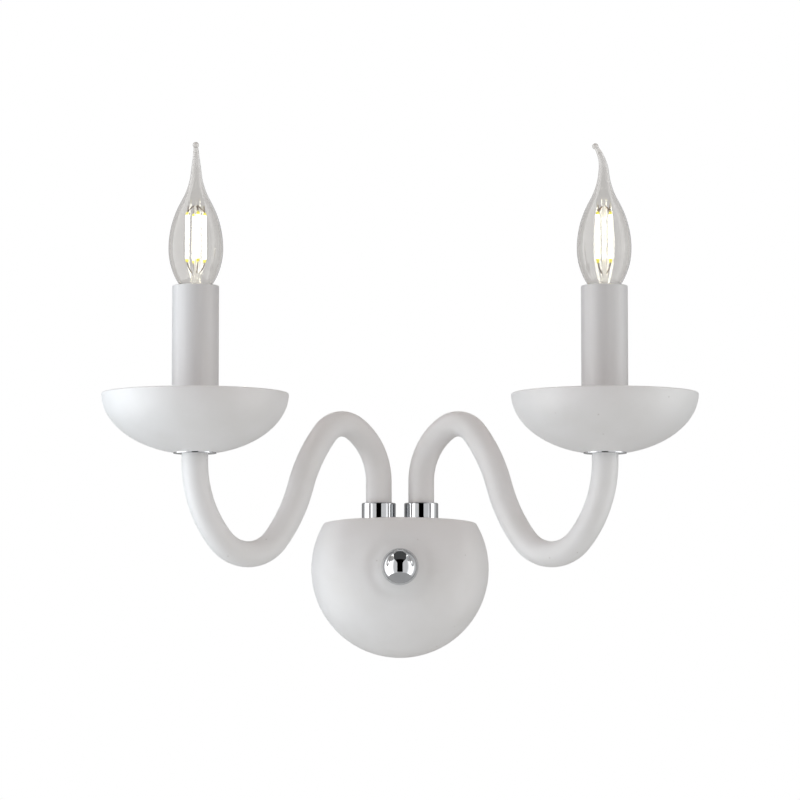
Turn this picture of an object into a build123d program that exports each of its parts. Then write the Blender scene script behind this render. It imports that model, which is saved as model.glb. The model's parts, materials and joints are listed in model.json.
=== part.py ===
from build123d import *
import os
from math import acos, atan2, cos, degrees, hypot, pi, radians, sin, sqrt

# Candle wall light with two bent glass arms.
# Millimetres. The wall is the plane Y = 0 and the light stands out of it towards -Y.
# +X is to the right as the light is looked at, +Z is up, and the origin is on the axis of the finial.

SIDES = {"left": -1, "right": 1}

# Running and thread gaps, on the radius
THREAD_GAP = 0.05
FREE_GAP = 0.2

# Wall plate, round and inside the cover
PLATE_CLEARANCE = 2.3
PLATE_THICK = 2.0
PLATE_TOP = 22.0
SLOT_SPACING = 60.0
SLOT_WIDTH = 5.0
SLOT_LENGTH = 12.0
GROMMET_DROP = 14.0
GROMMET_BORE = 4.0
GROMMET_RADIUS = 6.0
GROMMET_LIP = 1.5
GROMMET_LIP_THICK = 1.2
EARTH_X = 26.0
EARTH_DROP = 20.0

# Arm bracket, an angle that stands on the plate
SHELF_TOP = 20.0
SHELF_THICK = 2.0
SHELF_OUT = 27.0
SHELF_HALF = 25.0
FLANGE_HEIGHT = 15.0
BRACKET_BEND = 1.5
BRACKET_SCREW_X = 20.0
BRACKET_SCREW_DROP = 9.0

# Small screws
SCREW_RADIUS = 2.0
SCREW_HEAD_RADIUS = 3.6
SCREW_HEAD_HEIGHT = 2.0
DRIVE_WIDTH = 1.0
DRIVE_DEPTH = 1.0

# Hollow threaded nipples with their hexagon nuts and washers
NUT_SIDES = 6
NIPPLE_RADIUS = 5.0
NIPPLE_BORE = 3.5
NUT_FLATS = 14.0
NUT_HEIGHT = 4.0
WASHER_RADIUS = 9.0
WASHER_THICK = 1.5
NIPPLE_TAIL = 2.5

# Chrome cups
CUP_X = 14.0
CUP_OUT = 15.0
CUP_RADIUS = 11.25
CUP_HEIGHT = 23.0
CUP_BASE = 4.0
CUP_BORE = 9.3
CUP_EDGE = 0.8

# Glass arms: tube and centre line, with u outwards from the cup and z upwards
TUBE_RADIUS = 8.5
TUBE_BORE = 6.0
ARM_FOOT_GAP = 1.0
RISER_TOP = 57.2
CREST_U = 28.1
CREST_Z = 77.3
CREST_RADIUS = 17.0
FLANK_CURVE = 102.5
BEND_BACK = 39.1
BEND_Z = 34.4
BEND_RADIUS = 27.0
TIP_STRAIGHT = 5.0
CEMENT_LIP = 2.0
TIP_NIPPLE_DEPTH = 9.0

# Candles, to the side and in front of the cups
ARM_ASIDE = 117.0
ARM_FORWARD = 75.0
SEAT_Z = 70.9
SEAT_RADIUS = 13.8
SEAT_THICK = 0.8
SEAT_EDGE = 0.3

# Drip bowls
BOWL_RADIUS = 60.0
BOWL_DEPTH = 38.0
BOWL_CURVE = 39.2
BOWL_WALL = 3.5
BOWL_FLOOR = 4.2
BOWL_INNER_CURVE = 35.4
BOWL_HOLE = 5.4
RIM_EDGE = 1.2
BOWL_WASHER_RADIUS = 11.0

# Candle sleeves
SLEEVE_RADIUS = 15.0
SLEEVE_WALL = 1.5
SLEEVE_LENGTH = 102.8
SLEEVE_EDGE = 0.7

# Lampholders
HOLDER_SINK = 10.7
HOLDER_RADIUS = 12.3
HOLDER_LENGTH = 32.0
HOLDER_BLOCK = 17.0
HOLDER_BLOCK_DEPTH = 14.0
HOLDER_BLOCK_HEIGHT = 12.0
STRAP_THICK = 1.5
STRAP_WIDTH = 13.0
STRAP_LAP = 10.0
SHELL_RADIUS = 7.9
SHELL_BORE = 7.1
SHELL_LENGTH = 17.0
POCKET_RADIUS = 5.6
POCKET_DEPTH = 9.0
CONTACT_POST = 1.5
CONTACT_DISC = 3.4
CONTACT_THICK = 0.6

# Bulbs
CAP_RADIUS = 6.9
CAP_WALL = 0.5
CAP_THREAD = 15.5
SKIRT_RADIUS = 8.1
SKIRT_HEIGHT = 3.5
SKIRT_LIFT = 0.5
INSULATOR_HEIGHT = 3.5
INSULATOR_TIP = 3.8
FOOT_RADIUS = 3.2
FOOT_HEIGHT = 1.5
FOOT_EDGE = 0.6
GLASS_WALL = 0.9
FLAME_RADIUS = 17.5
NECK_RADIUS = 7.2
LOWER_CURVE = 43.0
LOWER_TURN = 34.0
UPPER_CURVE = 62.0
UPPER_TURN = 28.0
CONE_LENGTH = 3.5
THROAT_CURVE = 46.0
THROAT_TURN = 23.0
TAIL_CURVE = 28.0
TAIL_TURN = 36.0
TAIL_STEPS = 4
TAIL_END_RADIUS = 1.7
BEAD_RADIUS = 2.0
TAIL_HEADING = {"left": -90.0, "right": 180.0}
STEM_FLARE = 5.6
STEM_LIP = 1.0
STEM_FLARE_HEIGHT = 3.0
STEM_PINCH = 2.0
STEM_PINCH_HEIGHT = 12.0
STEM_RADIUS = 1.2
FILAMENT_COUNT = 4
FILAMENT_RADIUS = 1.05
FILAMENT_RING = 5.75
FILAMENT_LENGTH = 32.5
FILAMENT_LIFT = 7.2
FILAMENT_TURN = {"left": 16.5, "right": 42.0}
LAMP_WIRE_RADIUS = 0.3
LAMP_WIRE_RISE = 4.5
LAMP_WIRE_DROP = 7.0

# Glass wall cover
COVER_RADIUS = 58.8
COVER_GAP = 0.4
COVER_CURVE = 39.5
COVER_WALL = 3.5
COVER_INNER_CURVE = 36.0
COVER_CUT = 30.0
COVER_CUT_TILT = 5.5
COVER_EDGE = 1.0
COLLAR_START = 26.0
COLLAR_HOLLOW = 20.0
COLLAR_FLANK = 16.0
COLLAR_TOP = 9.0
HOLLOW_SLOPE = 4.0
FLANK_SLOPE = 18.0
COVER_HOLE = 3.2

# Finial and its stud
STUD_CHAMFER = 0.5
STUD_RADIUS = 2.5
STUD_ENTRY = 12.0
STUD_NUT_FLATS = 8.0
STUD_NUT_HEIGHT = 4.0
STUD_WASHER_RADIUS = 8.0
STUD_WASHER_THICK = 1.2
BALL_RADIUS = 12.1
BALL_SEAT = 6.5
BALL_HOLE_SPARE = 1.5

# Terminal block and wires
BLOCK_TOP = -24.0
BLOCK_HEIGHT = 14.0
BLOCK_HALF = 12.0
BLOCK_DEPTH = 18.0
BLOCK_EDGE = 1.0
POLE_X = 5.7
CLAMP_RADIUS = 3.6
CLAMP_BORE = 2.8
CLAMP_SPARE = 1.0
CLAMP_SCREW = 1.5
CLAMP_SCREW_RISE = 3.5
BLOCK_SCREW = 1.5
BLOCK_SCREW_HEAD = 2.8
WIRE_RADIUS = 1.0
WIRE_OFFSET = 1.5
WIRE_TWIN = 1.15
WIRE_BEND_TOP = 2.0
WIRE_BEND_BOTTOM = -21.0
WIRE_BEND_RADIUS = 8.0
WIRE_IN_BLOCK = 10.0
WIRE_IN_HOLDER = 5.0

# Heights and lengths that follow
PLATE_RADIUS = COVER_RADIUS - COVER_WALL - PLATE_CLEARANCE
CANDLE_X = CUP_X + ARM_ASIDE
CANDLE_OUT = CUP_OUT + ARM_FORWARD
REACH = hypot(ARM_ASIDE, ARM_FORWARD)
SPLAY = atan2(ARM_FORWARD, ARM_ASIDE)
CUP_TOP = SHELF_TOP + CUP_HEIGHT
CUP_FLOOR = SHELF_TOP + CUP_BASE
ARM_FOOT = CUP_FLOOR + ARM_FOOT_GAP
SHELF_UNDER = SHELF_TOP - SHELF_THICK
CUP_NUT_Z = SHELF_UNDER - WASHER_THICK - NUT_HEIGHT
BOWL_BASE = SEAT_Z + SEAT_THICK
BOWL_RIM = BOWL_BASE + BOWL_DEPTH
FLOOR_Z = BOWL_BASE + BOWL_FLOOR
BOWL_NUT_Z = FLOOR_Z + WASHER_THICK
STRAP_Z = BOWL_NUT_Z + NUT_HEIGHT
SLEEVE_TOP = FLOOR_Z + SLEEVE_LENGTH
HOLDER_TOP = SLEEVE_TOP - HOLDER_SINK
HOLDER_NECK = HOLDER_TOP - HOLDER_LENGTH
HOLDER_FOOT = HOLDER_NECK - HOLDER_BLOCK_HEIGHT
SHELL_FOOT = HOLDER_TOP - SHELL_LENGTH
POCKET_FOOT = SHELL_FOOT - POCKET_DEPTH
SKIRT_Z = HOLDER_TOP + SKIRT_LIFT
CAP_FOOT = SKIRT_Z - CAP_THREAD
INSULATOR_FOOT = CAP_FOOT - INSULATOR_HEIGHT
LAMP_FOOT = INSULATOR_FOOT - FOOT_HEIGHT
GLASS_FOOT = SKIRT_Z + SKIRT_LIFT
BELLY_DROP = LOWER_CURVE * (1 - cos(radians(LOWER_TURN)))
NECK_CURVE = (FLAME_RADIUS - BELLY_DROP - NECK_RADIUS) / (1 - cos(radians(LOWER_TURN)))
BELLY_Z = GLASS_FOOT + (LOWER_CURVE + NECK_CURVE) * sin(radians(LOWER_TURN))
FILAMENT_Z = BELLY_Z + FILAMENT_LIFT - FILAMENT_LENGTH / 2
FILAMENT_TOP = FILAMENT_Z + FILAMENT_LENGTH
BLOCK_FRONT = PLATE_THICK + BLOCK_DEPTH
BLOCK_MIDDLE = BLOCK_TOP - BLOCK_HEIGHT / 2

# How far the cover's collar stands out, from the wall
COLLAR_SLOPE = atan2(COVER_CURVE * COLLAR_START, COVER_RADIUS * sqrt(COVER_RADIUS**2 - COLLAR_START**2))
COLLAR_SOFT = (COLLAR_START - COLLAR_HOLLOW) / (sin(COLLAR_SLOPE) - sin(radians(HOLLOW_SLOPE)))
COLLAR_DIP = (COLLAR_HOLLOW - COLLAR_FLANK) / (sin(radians(FLANK_SLOPE)) - sin(radians(HOLLOW_SLOPE)))
COLLAR_ROUND = (COLLAR_FLANK - COLLAR_TOP) / sin(radians(FLANK_SLOPE))
COLLAR_OUT = (
    COVER_GAP
    + COVER_CURVE * sqrt(1 - (COLLAR_START / COVER_RADIUS) ** 2)
    + COLLAR_SOFT * (cos(radians(HOLLOW_SLOPE)) - cos(COLLAR_SLOPE))
    + COLLAR_DIP * (cos(radians(HOLLOW_SLOPE)) - cos(radians(FLANK_SLOPE)))
    + COLLAR_ROUND * (1 - cos(radians(FLANK_SLOPE)))
)
COLLAR_BACK = COLLAR_OUT - COVER_WALL
BALL_FOOT = COLLAR_OUT + STUD_WASHER_THICK
BALL_OUT = BALL_FOOT + sqrt(BALL_RADIUS**2 - BALL_SEAT**2)

# Tangent angles and radii of the arm's centre line
RISER_RISE = CREST_Z - RISER_TOP
RISER_CURVE = (CREST_U**2 + RISER_RISE**2 - CREST_RADIUS**2) / (2 * (CREST_U - CREST_RADIUS))
RISER_TURN = degrees(atan2(RISER_RISE, RISER_CURVE - CREST_U))
TIP_FOOT = SEAT_Z - TIP_STRAIGHT
TIP_RISE = TIP_FOOT - BEND_Z
TIP_CURVE = (BEND_BACK**2 + TIP_RISE**2 - BEND_RADIUS**2) / (2 * (BEND_BACK - BEND_RADIUS))
TIP_TURN = degrees(atan2(TIP_RISE, TIP_CURVE - BEND_BACK))
FLANK_ACROSS = REACH - BEND_BACK - CREST_U
FLANK_DROP = CREST_Z - BEND_Z
END_RADII = CREST_RADIUS + BEND_RADIUS
FLANK_ROOM = 4 * FLANK_CURVE * (2 * FLANK_CURVE - END_RADII)
FLANK_BOW = (FLANK_ACROSS**2 + FLANK_DROP**2 - END_RADII**2) / FLANK_ROOM
FLANK_TURN = degrees(acos(1 - FLANK_BOW))
FLANK_NORMAL = degrees(
    atan2(2 * FLANK_CURVE * sin(radians(FLANK_TURN)), END_RADII - 2 * FLANK_CURVE * FLANK_BOW)
    - atan2(FLANK_DROP, FLANK_ACROSS)
)
CREST_TURN = 180 - RISER_TURN - FLANK_NORMAL
BEND_TURN = 180 - TIP_TURN - FLANK_NORMAL


def save(part, name):
    part.label = name
    export_step(part, f"parts/{name}.step")


def level(x, out, z):
    """A horizontal drawing plane at x, a distance out of the wall, and a height."""
    return Plane(origin=(x, -out, z))


def section(x, out):
    """An upright drawing plane through a vertical axis: radius across, height up."""
    return Plane(origin=(x, -out, 0), x_dir=(1, 0, 0), z_dir=(0, -1, 0))


def facing(x, out, z):
    """A drawing plane parallel to the wall, looking out of it."""
    return Plane(origin=(x, -out, z), x_dir=(1, 0, 0), z_dir=(0, -1, 0))


def upright(x, out):
    return Axis((x, -out, 0), (0, 0, 1))


def arm_plane(side, offset=0.0):
    """The upright plane of one arm, moved sideways by an offset: u across, z up."""
    across = Vector(side * cos(SPLAY), -sin(SPLAY), 0)
    normal = across.cross(Vector(0, 0, 1))
    return Plane(origin=Vector(side * CUP_X, -CUP_OUT, 0) + normal * offset, x_dir=across, z_dir=normal)


def arm_line(plane, start, end):
    """The arm's centre line of tangent lines and arcs, from a start height to an end height."""
    with BuildLine(plane) as line:
        riser = Line((0, start), (0, RISER_TOP))
        lean = JernArc(riser @ 1, (0, 1), RISER_CURVE, -RISER_TURN)
        heading = 90 - RISER_TURN
        crest = JernArc(lean @ 1, (cos(radians(heading)), sin(radians(heading))), CREST_RADIUS, -CREST_TURN)
        heading -= CREST_TURN
        flank = JernArc(crest @ 1, (cos(radians(heading)), sin(radians(heading))), FLANK_CURVE, -FLANK_TURN)
        heading -= FLANK_TURN
        hollow = JernArc(flank @ 1, (cos(radians(heading)), sin(radians(heading))), FLANK_CURVE, FLANK_TURN)
        heading += FLANK_TURN
        bend = JernArc(hollow @ 1, (cos(radians(heading)), sin(radians(heading))), BEND_RADIUS, BEND_TURN)
        heading += BEND_TURN
        tip = JernArc(bend @ 1, (cos(radians(heading)), sin(radians(heading))), TIP_CURVE, TIP_TURN)
        Line(tip @ 1, (REACH, end))
    return line.line


def flame_outline(inset):
    """The bulb's outline from neck to throat, moved inwards by the inset: arcs that share their centres."""
    turn = radians(LOWER_TURN)
    belly = (FLAME_RADIUS - inset, BELLY_Z)
    lower = JernArc(belly, (0, -1), LOWER_CURVE - inset, -LOWER_TURN)
    neck = JernArc(lower @ 1, (-sin(turn), -cos(turn)), NECK_CURVE + inset, LOWER_TURN)
    upper = JernArc(belly, (0, 1), UPPER_CURVE - inset, UPPER_TURN)
    cone = PolarLine(upper @ 1, CONE_LENGTH, 90 + UPPER_TURN)
    rise = radians(90 + UPPER_TURN)
    throat = JernArc(cone @ 1, (cos(rise), sin(rise)), THROAT_CURVE + inset, -THROAT_TURN)
    return neck @ 1, throat @ 1


def throat_end():
    """Radius and height at which the bulb's outer outline ends, still leaning in a little."""
    upper = radians(UPPER_TURN)
    lean = radians(UPPER_TURN - THROAT_TURN)
    drop = UPPER_CURVE * (1 - cos(upper)) + CONE_LENGTH * sin(upper) + THROAT_CURVE * (cos(lean) - cos(upper))
    rise = UPPER_CURVE * sin(upper) + CONE_LENGTH * cos(upper) + THROAT_CURVE * (sin(upper) - sin(lean))
    return FLAME_RADIUS - drop, BELLY_Z + rise


def ring_pair(name, x, out, z, height, outer, inner):
    """Two equal washers or tubes, one on each side."""
    with BuildPart() as rings:
        for side in SIDES.values():
            with BuildSketch(level(side * x, out, z)):
                Circle(outer)
                Circle(inner, mode=Mode.SUBTRACT)
            extrude(amount=height)
    save(rings.part, name)


def nut_pair(name, x, out, z):
    with BuildPart() as nuts:
        for side in SIDES.values():
            with BuildSketch(level(side * x, out, z)):
                RegularPolygon(NUT_FLATS / 2, NUT_SIDES, major_radius=False)
                Circle(NIPPLE_RADIUS + THREAD_GAP, mode=Mode.SUBTRACT)
            extrude(amount=NUT_HEIGHT)
    save(nuts.part, name)


def slotted_screw(x, out, z, shank_length, shank, head):
    """A screw driven towards the wall, with the underside of its head at the distance out."""
    with BuildPart() as screw:
        with BuildSketch(facing(x, out, z)):
            Circle(head)
        extrude(amount=SCREW_HEAD_HEIGHT)
        with BuildSketch(facing(x, out, z)):
            Circle(shank)
        extrude(amount=-shank_length)
        with BuildSketch(facing(x, out + SCREW_HEAD_HEIGHT, z)):
            Rectangle(2 * head + DRIVE_WIDTH, DRIVE_WIDTH)
        extrude(amount=-DRIVE_DEPTH, mode=Mode.SUBTRACT)
    return screw.part


def wall_plate():
    with BuildPart() as plate:
        with BuildSketch(facing(0, 0, 0)):
            Circle(PLATE_RADIUS)
            with Locations((0, PLATE_TOP + PLATE_RADIUS)):
                Rectangle(2 * PLATE_RADIUS, 2 * PLATE_RADIUS, mode=Mode.SUBTRACT)
            with Locations((-SLOT_SPACING / 2, 0), (SLOT_SPACING / 2, 0)):
                SlotOverall(SLOT_LENGTH, SLOT_WIDTH, mode=Mode.SUBTRACT)
            with Locations((0, -GROMMET_DROP)):
                Circle(GROMMET_RADIUS, mode=Mode.SUBTRACT)
            with Locations((0, 0)):
                Circle(STUD_RADIUS + THREAD_GAP, mode=Mode.SUBTRACT)
            with Locations(
                (-BRACKET_SCREW_X, SHELF_TOP - BRACKET_SCREW_DROP),
                (BRACKET_SCREW_X, SHELF_TOP - BRACKET_SCREW_DROP),
                (EARTH_X, -EARTH_DROP),
            ):
                Circle(SCREW_RADIUS + THREAD_GAP, mode=Mode.SUBTRACT)
            with Locations((0, BLOCK_MIDDLE)):
                Circle(BLOCK_SCREW + THREAD_GAP, mode=Mode.SUBTRACT)
        extrude(amount=PLATE_THICK)
    save(plate.part, "wall_plate")


def arm_bracket():
    with BuildPart() as bracket:
        with BuildSketch(Plane.YZ.offset(-SHELF_HALF)):
            with BuildLine():
                Polyline(
                    (-PLATE_THICK, SHELF_TOP - FLANGE_HEIGHT),
                    (-PLATE_THICK, SHELF_TOP),
                    (-SHELF_OUT, SHELF_TOP),
                    (-SHELF_OUT, SHELF_UNDER),
                    (-PLATE_THICK - SHELF_THICK, SHELF_UNDER),
                    (-PLATE_THICK - SHELF_THICK, SHELF_TOP - FLANGE_HEIGHT),
                    close=True,
                )
            make_face()
        extrude(amount=2 * SHELF_HALF)
        top_edges = bracket.edges().filter_by(Axis.X).group_by(Axis.Z)[-1]
        fillet(top_edges.sort_by(Axis.Y)[-1:], SHELF_THICK)
        with BuildSketch(Plane.XY.offset(SHELF_TOP)):
            with Locations((-CUP_X, -CUP_OUT), (CUP_X, -CUP_OUT)):
                Circle(NIPPLE_RADIUS + FREE_GAP)
        extrude(amount=-SHELF_THICK, mode=Mode.SUBTRACT)
        with BuildSketch(facing(0, PLATE_THICK, SHELF_TOP - BRACKET_SCREW_DROP)):
            with Locations((-BRACKET_SCREW_X, 0), (BRACKET_SCREW_X, 0)):
                Circle(SCREW_RADIUS + FREE_GAP)
        extrude(amount=SHELF_THICK, mode=Mode.SUBTRACT)
        fillet(bracket.edges().filter_by(Axis.Z).group_by(Axis.Y)[0], BRACKET_BEND)
    save(bracket.part, "arm_bracket")


def plate_screws():
    out = PLATE_THICK + SHELF_THICK
    with BuildPart() as screws:
        for side in SIDES.values():
            x = side * BRACKET_SCREW_X
            z = SHELF_TOP - BRACKET_SCREW_DROP
            add(slotted_screw(x, out, z, out - FREE_GAP, SCREW_RADIUS, SCREW_HEAD_RADIUS))
    save(screws.part, "bracket_screws")
    depth = PLATE_THICK - FREE_GAP
    earth = slotted_screw(EARTH_X, PLATE_THICK, -EARTH_DROP, depth, SCREW_RADIUS, SCREW_HEAD_RADIUS)
    save(earth, "earth_screw")


def cable_grommet():
    with BuildPart() as grommet:
        with BuildSketch(facing(0, 0, -GROMMET_DROP)):
            Circle(GROMMET_RADIUS - THREAD_GAP)
        extrude(amount=PLATE_THICK + GROMMET_LIP_THICK)
        with BuildSketch(facing(0, PLATE_THICK, -GROMMET_DROP)):
            Circle(GROMMET_RADIUS + GROMMET_LIP)
        extrude(amount=GROMMET_LIP_THICK)
        with BuildSketch(facing(0, 0, -GROMMET_DROP)):
            Circle(GROMMET_BORE)
        extrude(amount=PLATE_THICK + GROMMET_LIP_THICK, mode=Mode.SUBTRACT)
    save(grommet.part, "cable_grommet")


def terminal_block():
    with BuildPart() as block:
        with BuildSketch(level(0, PLATE_THICK + BLOCK_DEPTH / 2, BLOCK_TOP)):
            Rectangle(2 * BLOCK_HALF, BLOCK_DEPTH)
        extrude(amount=-BLOCK_HEIGHT)
        fillet(block.edges().filter_by(Axis.Z), BLOCK_EDGE)
        with BuildSketch(level(0, CUP_OUT, BLOCK_TOP)):
            with Locations((-POLE_X, 0), (POLE_X, 0)):
                Circle(CLAMP_RADIUS + THREAD_GAP)
        extrude(amount=-BLOCK_HEIGHT, mode=Mode.SUBTRACT)
        with BuildSketch(facing(0, BLOCK_FRONT, BLOCK_MIDDLE)):
            with GridLocations(2 * POLE_X, 2 * CLAMP_SCREW_RISE, 2, 2):
                Circle(CLAMP_SCREW + FREE_GAP)
        extrude(amount=CUP_OUT - BLOCK_FRONT, mode=Mode.SUBTRACT)
        with BuildSketch(facing(0, BLOCK_FRONT, BLOCK_MIDDLE)):
            Circle(BLOCK_SCREW + FREE_GAP)
        extrude(amount=-BLOCK_DEPTH, mode=Mode.SUBTRACT)
    save(block.part, "terminal_block")
    with BuildPart() as clamps:
        with BuildSketch(level(0, CUP_OUT, BLOCK_TOP - CLAMP_SPARE)):
            with Locations((-POLE_X, 0), (POLE_X, 0)):
                Circle(CLAMP_RADIUS)
                Circle(CLAMP_BORE, mode=Mode.SUBTRACT)
        extrude(amount=2 * CLAMP_SPARE - BLOCK_HEIGHT)
        with BuildSketch(facing(0, BLOCK_FRONT, BLOCK_MIDDLE)):
            with GridLocations(2 * POLE_X, 2 * CLAMP_SCREW_RISE, 2, 2):
                Circle(CLAMP_SCREW + THREAD_GAP)
        extrude(amount=CUP_OUT - BLOCK_FRONT, mode=Mode.SUBTRACT)
    save(clamps.part, "terminal_clamps")
    with BuildPart() as screws:
        screw_out = CUP_OUT + CLAMP_BORE
        with BuildSketch(facing(0, screw_out, BLOCK_MIDDLE)):
            with GridLocations(2 * POLE_X, 2 * CLAMP_SCREW_RISE, 2, 2):
                Circle(CLAMP_SCREW)
        extrude(amount=BLOCK_FRONT - CLAMP_SPARE / 2 - screw_out)
        with BuildSketch(facing(0, BLOCK_FRONT, BLOCK_MIDDLE)):
            with GridLocations(2 * POLE_X, 2 * CLAMP_SCREW_RISE, 2, 2):
                Rectangle(2 * CLAMP_SCREW + DRIVE_WIDTH, DRIVE_WIDTH / 2)
        extrude(amount=-DRIVE_DEPTH, mode=Mode.SUBTRACT)
    save(screws.part, "terminal_screws")
    depth = BLOCK_FRONT - FREE_GAP
    fixing = slotted_screw(0, BLOCK_FRONT, BLOCK_MIDDLE, depth, BLOCK_SCREW, BLOCK_SCREW_HEAD)
    save(fixing, "terminal_fixing_screw")


def cover_fixings():
    with BuildPart() as stud:
        with BuildSketch(facing(0, FREE_GAP, 0)):
            Circle(STUD_RADIUS)
        extrude(amount=BALL_FOOT + STUD_ENTRY - FREE_GAP)
        chamfer(stud.edges().group_by(Axis.Y)[0], STUD_CHAMFER)
    save(stud.part, "cover_stud")
    stop_out = COLLAR_BACK - STUD_WASHER_THICK - STUD_NUT_HEIGHT
    for name, out in (("stud_nut", PLATE_THICK), ("cover_stop_nut", stop_out)):
        with BuildPart() as nut:
            with BuildSketch(facing(0, out, 0)):
                RegularPolygon(STUD_NUT_FLATS / 2, NUT_SIDES, major_radius=False)
                Circle(STUD_RADIUS + THREAD_GAP, mode=Mode.SUBTRACT)
            extrude(amount=STUD_NUT_HEIGHT)
        save(nut.part, name)
    back_out = COLLAR_BACK - STUD_WASHER_THICK
    for name, out in (("cover_back_washer", back_out), ("finial_washer", COLLAR_OUT)):
        with BuildPart() as washer:
            with BuildSketch(facing(0, out, 0)):
                Circle(STUD_WASHER_RADIUS)
                Circle(STUD_RADIUS + FREE_GAP, mode=Mode.SUBTRACT)
            extrude(amount=STUD_WASHER_THICK)
        save(washer.part, name)


def finial_ball():
    with BuildPart() as ball:
        with Locations((0, -BALL_OUT, 0)):
            Sphere(BALL_RADIUS)
        with BuildSketch(facing(0, BALL_FOOT, 0)):
            Circle(BALL_RADIUS)
        extrude(amount=-BALL_RADIUS, mode=Mode.SUBTRACT)
        with BuildSketch(facing(0, BALL_FOOT, 0)):
            Circle(STUD_RADIUS + THREAD_GAP)
        extrude(amount=STUD_ENTRY + BALL_HOLE_SPARE, mode=Mode.SUBTRACT)
    save(ball.part, "finial_ball")


def glass_cover():
    """A bowl with its mouth at the wall, a low collar round the hole, and its top cut off at a slant."""
    across = Plane(origin=(0, -COVER_GAP, 0), x_dir=(1, 0, 0), z_dir=(0, 0, -1))
    inner_radius = COVER_RADIUS - COVER_WALL
    back = COLLAR_BACK - COVER_GAP
    inner_turn = degrees(atan2(back / COVER_INNER_CURVE, sqrt(1 - (back / COVER_INNER_CURVE) ** 2)))
    collar_turn = degrees(acos(COLLAR_START / COVER_RADIUS))
    rim_slope = degrees(COLLAR_SLOPE)
    with BuildPart() as cover:
        with BuildSketch(across):
            with BuildLine():
                dome = EllipticalCenterArc((0, 0), COVER_RADIUS, COVER_CURVE, arc_size=collar_turn)
                soft_way = (-cos(radians(rim_slope)), sin(radians(rim_slope)))
                soft = JernArc(dome @ 1, soft_way, COLLAR_SOFT, rim_slope - HOLLOW_SLOPE)
                dip_way = (-cos(radians(HOLLOW_SLOPE)), sin(radians(HOLLOW_SLOPE)))
                dip = JernArc(soft @ 1, dip_way, COLLAR_DIP, HOLLOW_SLOPE - FLANK_SLOPE)
                round_way = (-cos(radians(FLANK_SLOPE)), sin(radians(FLANK_SLOPE)))
                crown = JernArc(dip @ 1, round_way, COLLAR_ROUND, FLANK_SLOPE)
                Polyline(crown @ 1, (COVER_HOLE, COLLAR_OUT - COVER_GAP), (COVER_HOLE, back))
                inside = EllipticalCenterArc(
                    (0, 0), inner_radius, COVER_INNER_CURVE, arc_size=inner_turn
                )
                Line((COVER_HOLE, back), inside @ 1)
                Line((inner_radius, 0), (COVER_RADIUS, 0))
            make_face()
        revolve(axis=Axis.Y)
        slant = Plane(origin=(0, 0, COVER_CUT), x_dir=(1, 0, 0), z_dir=(0, sin(radians(COVER_CUT_TILT)), 1))
        with BuildSketch(slant):
            Circle(2 * COVER_RADIUS)
        extrude(amount=COVER_RADIUS, mode=Mode.SUBTRACT)
        fillet(cover.faces().sort_by(Axis.Z)[-1].outer_wire().edges(), COVER_EDGE)
    save(cover.part, "glass_cover")


def arm_cup(side, name):
    with BuildPart() as cup:
        with BuildSketch(level(side * CUP_X, CUP_OUT, SHELF_TOP)):
            Circle(CUP_RADIUS)
            Circle(NIPPLE_RADIUS + THREAD_GAP, mode=Mode.SUBTRACT)
        extrude(amount=CUP_HEIGHT)
        with BuildSketch(level(side * CUP_X, CUP_OUT, CUP_FLOOR)):
            Circle(CUP_BORE)
        extrude(amount=CUP_HEIGHT, mode=Mode.SUBTRACT)
        fillet(cup.edges().group_by(Axis.Z)[-1].sort_by(SortBy.LENGTH)[-1:], CUP_EDGE)
    save(cup.part, f"{name}_arm_cup")


def glass_arm(side, name):
    centre = arm_line(arm_plane(side), ARM_FOOT, SEAT_Z)
    foot = level(side * CUP_X, CUP_OUT, ARM_FOOT)
    with BuildPart() as arm:
        with BuildSketch(foot):
            Circle(TUBE_RADIUS)
        sweep(path=centre)
        with BuildSketch(foot):
            Circle(TUBE_BORE)
        sweep(path=centre, mode=Mode.SUBTRACT)
    save(arm.part, f"{name}_glass_arm")


def bowl_seat(side, name):
    with BuildPart() as seat:
        with BuildSketch(level(side * CANDLE_X, CANDLE_OUT, SEAT_Z)):
            Circle(SEAT_RADIUS)
            Circle(NIPPLE_RADIUS + FREE_GAP, mode=Mode.SUBTRACT)
        extrude(amount=SEAT_THICK)
        fillet(seat.edges().group_by(Axis.Z)[0].sort_by(SortBy.LENGTH)[-1:], SEAT_EDGE)
    save(seat.part, f"{name}_bowl_seat")


def drip_bowl(side, name):
    x = side * CANDLE_X
    inner_radius = BOWL_RADIUS - BOWL_WALL
    base = BOWL_DEPTH / BOWL_CURVE
    floor = (BOWL_RIM - FLOOR_Z) / BOWL_INNER_CURVE
    outer_turn = degrees(atan2(base, sqrt(1 - base**2)))
    inner_turn = degrees(atan2(floor, sqrt(1 - floor**2)))
    with BuildPart() as bowl:
        with BuildSketch(section(x, CANDLE_OUT)):
            with BuildLine():
                centre = (0, BOWL_RIM)
                outside = EllipticalCenterArc(
                    centre, BOWL_RADIUS, BOWL_CURVE, start_angle=-outer_turn, arc_size=outer_turn
                )
                inside = EllipticalCenterArc(
                    centre, inner_radius, BOWL_INNER_CURVE, start_angle=-inner_turn, arc_size=inner_turn
                )
                Polyline(inside @ 0, (BOWL_HOLE, FLOOR_Z), (BOWL_HOLE, BOWL_BASE), outside @ 0)
                Line(outside @ 1, inside @ 1)
            make_face()
        revolve(axis=upright(x, CANDLE_OUT))
        fillet(bowl.edges().group_by(Axis.Z)[-1], RIM_EDGE)
    save(bowl.part, f"{name}_drip_bowl")


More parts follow.
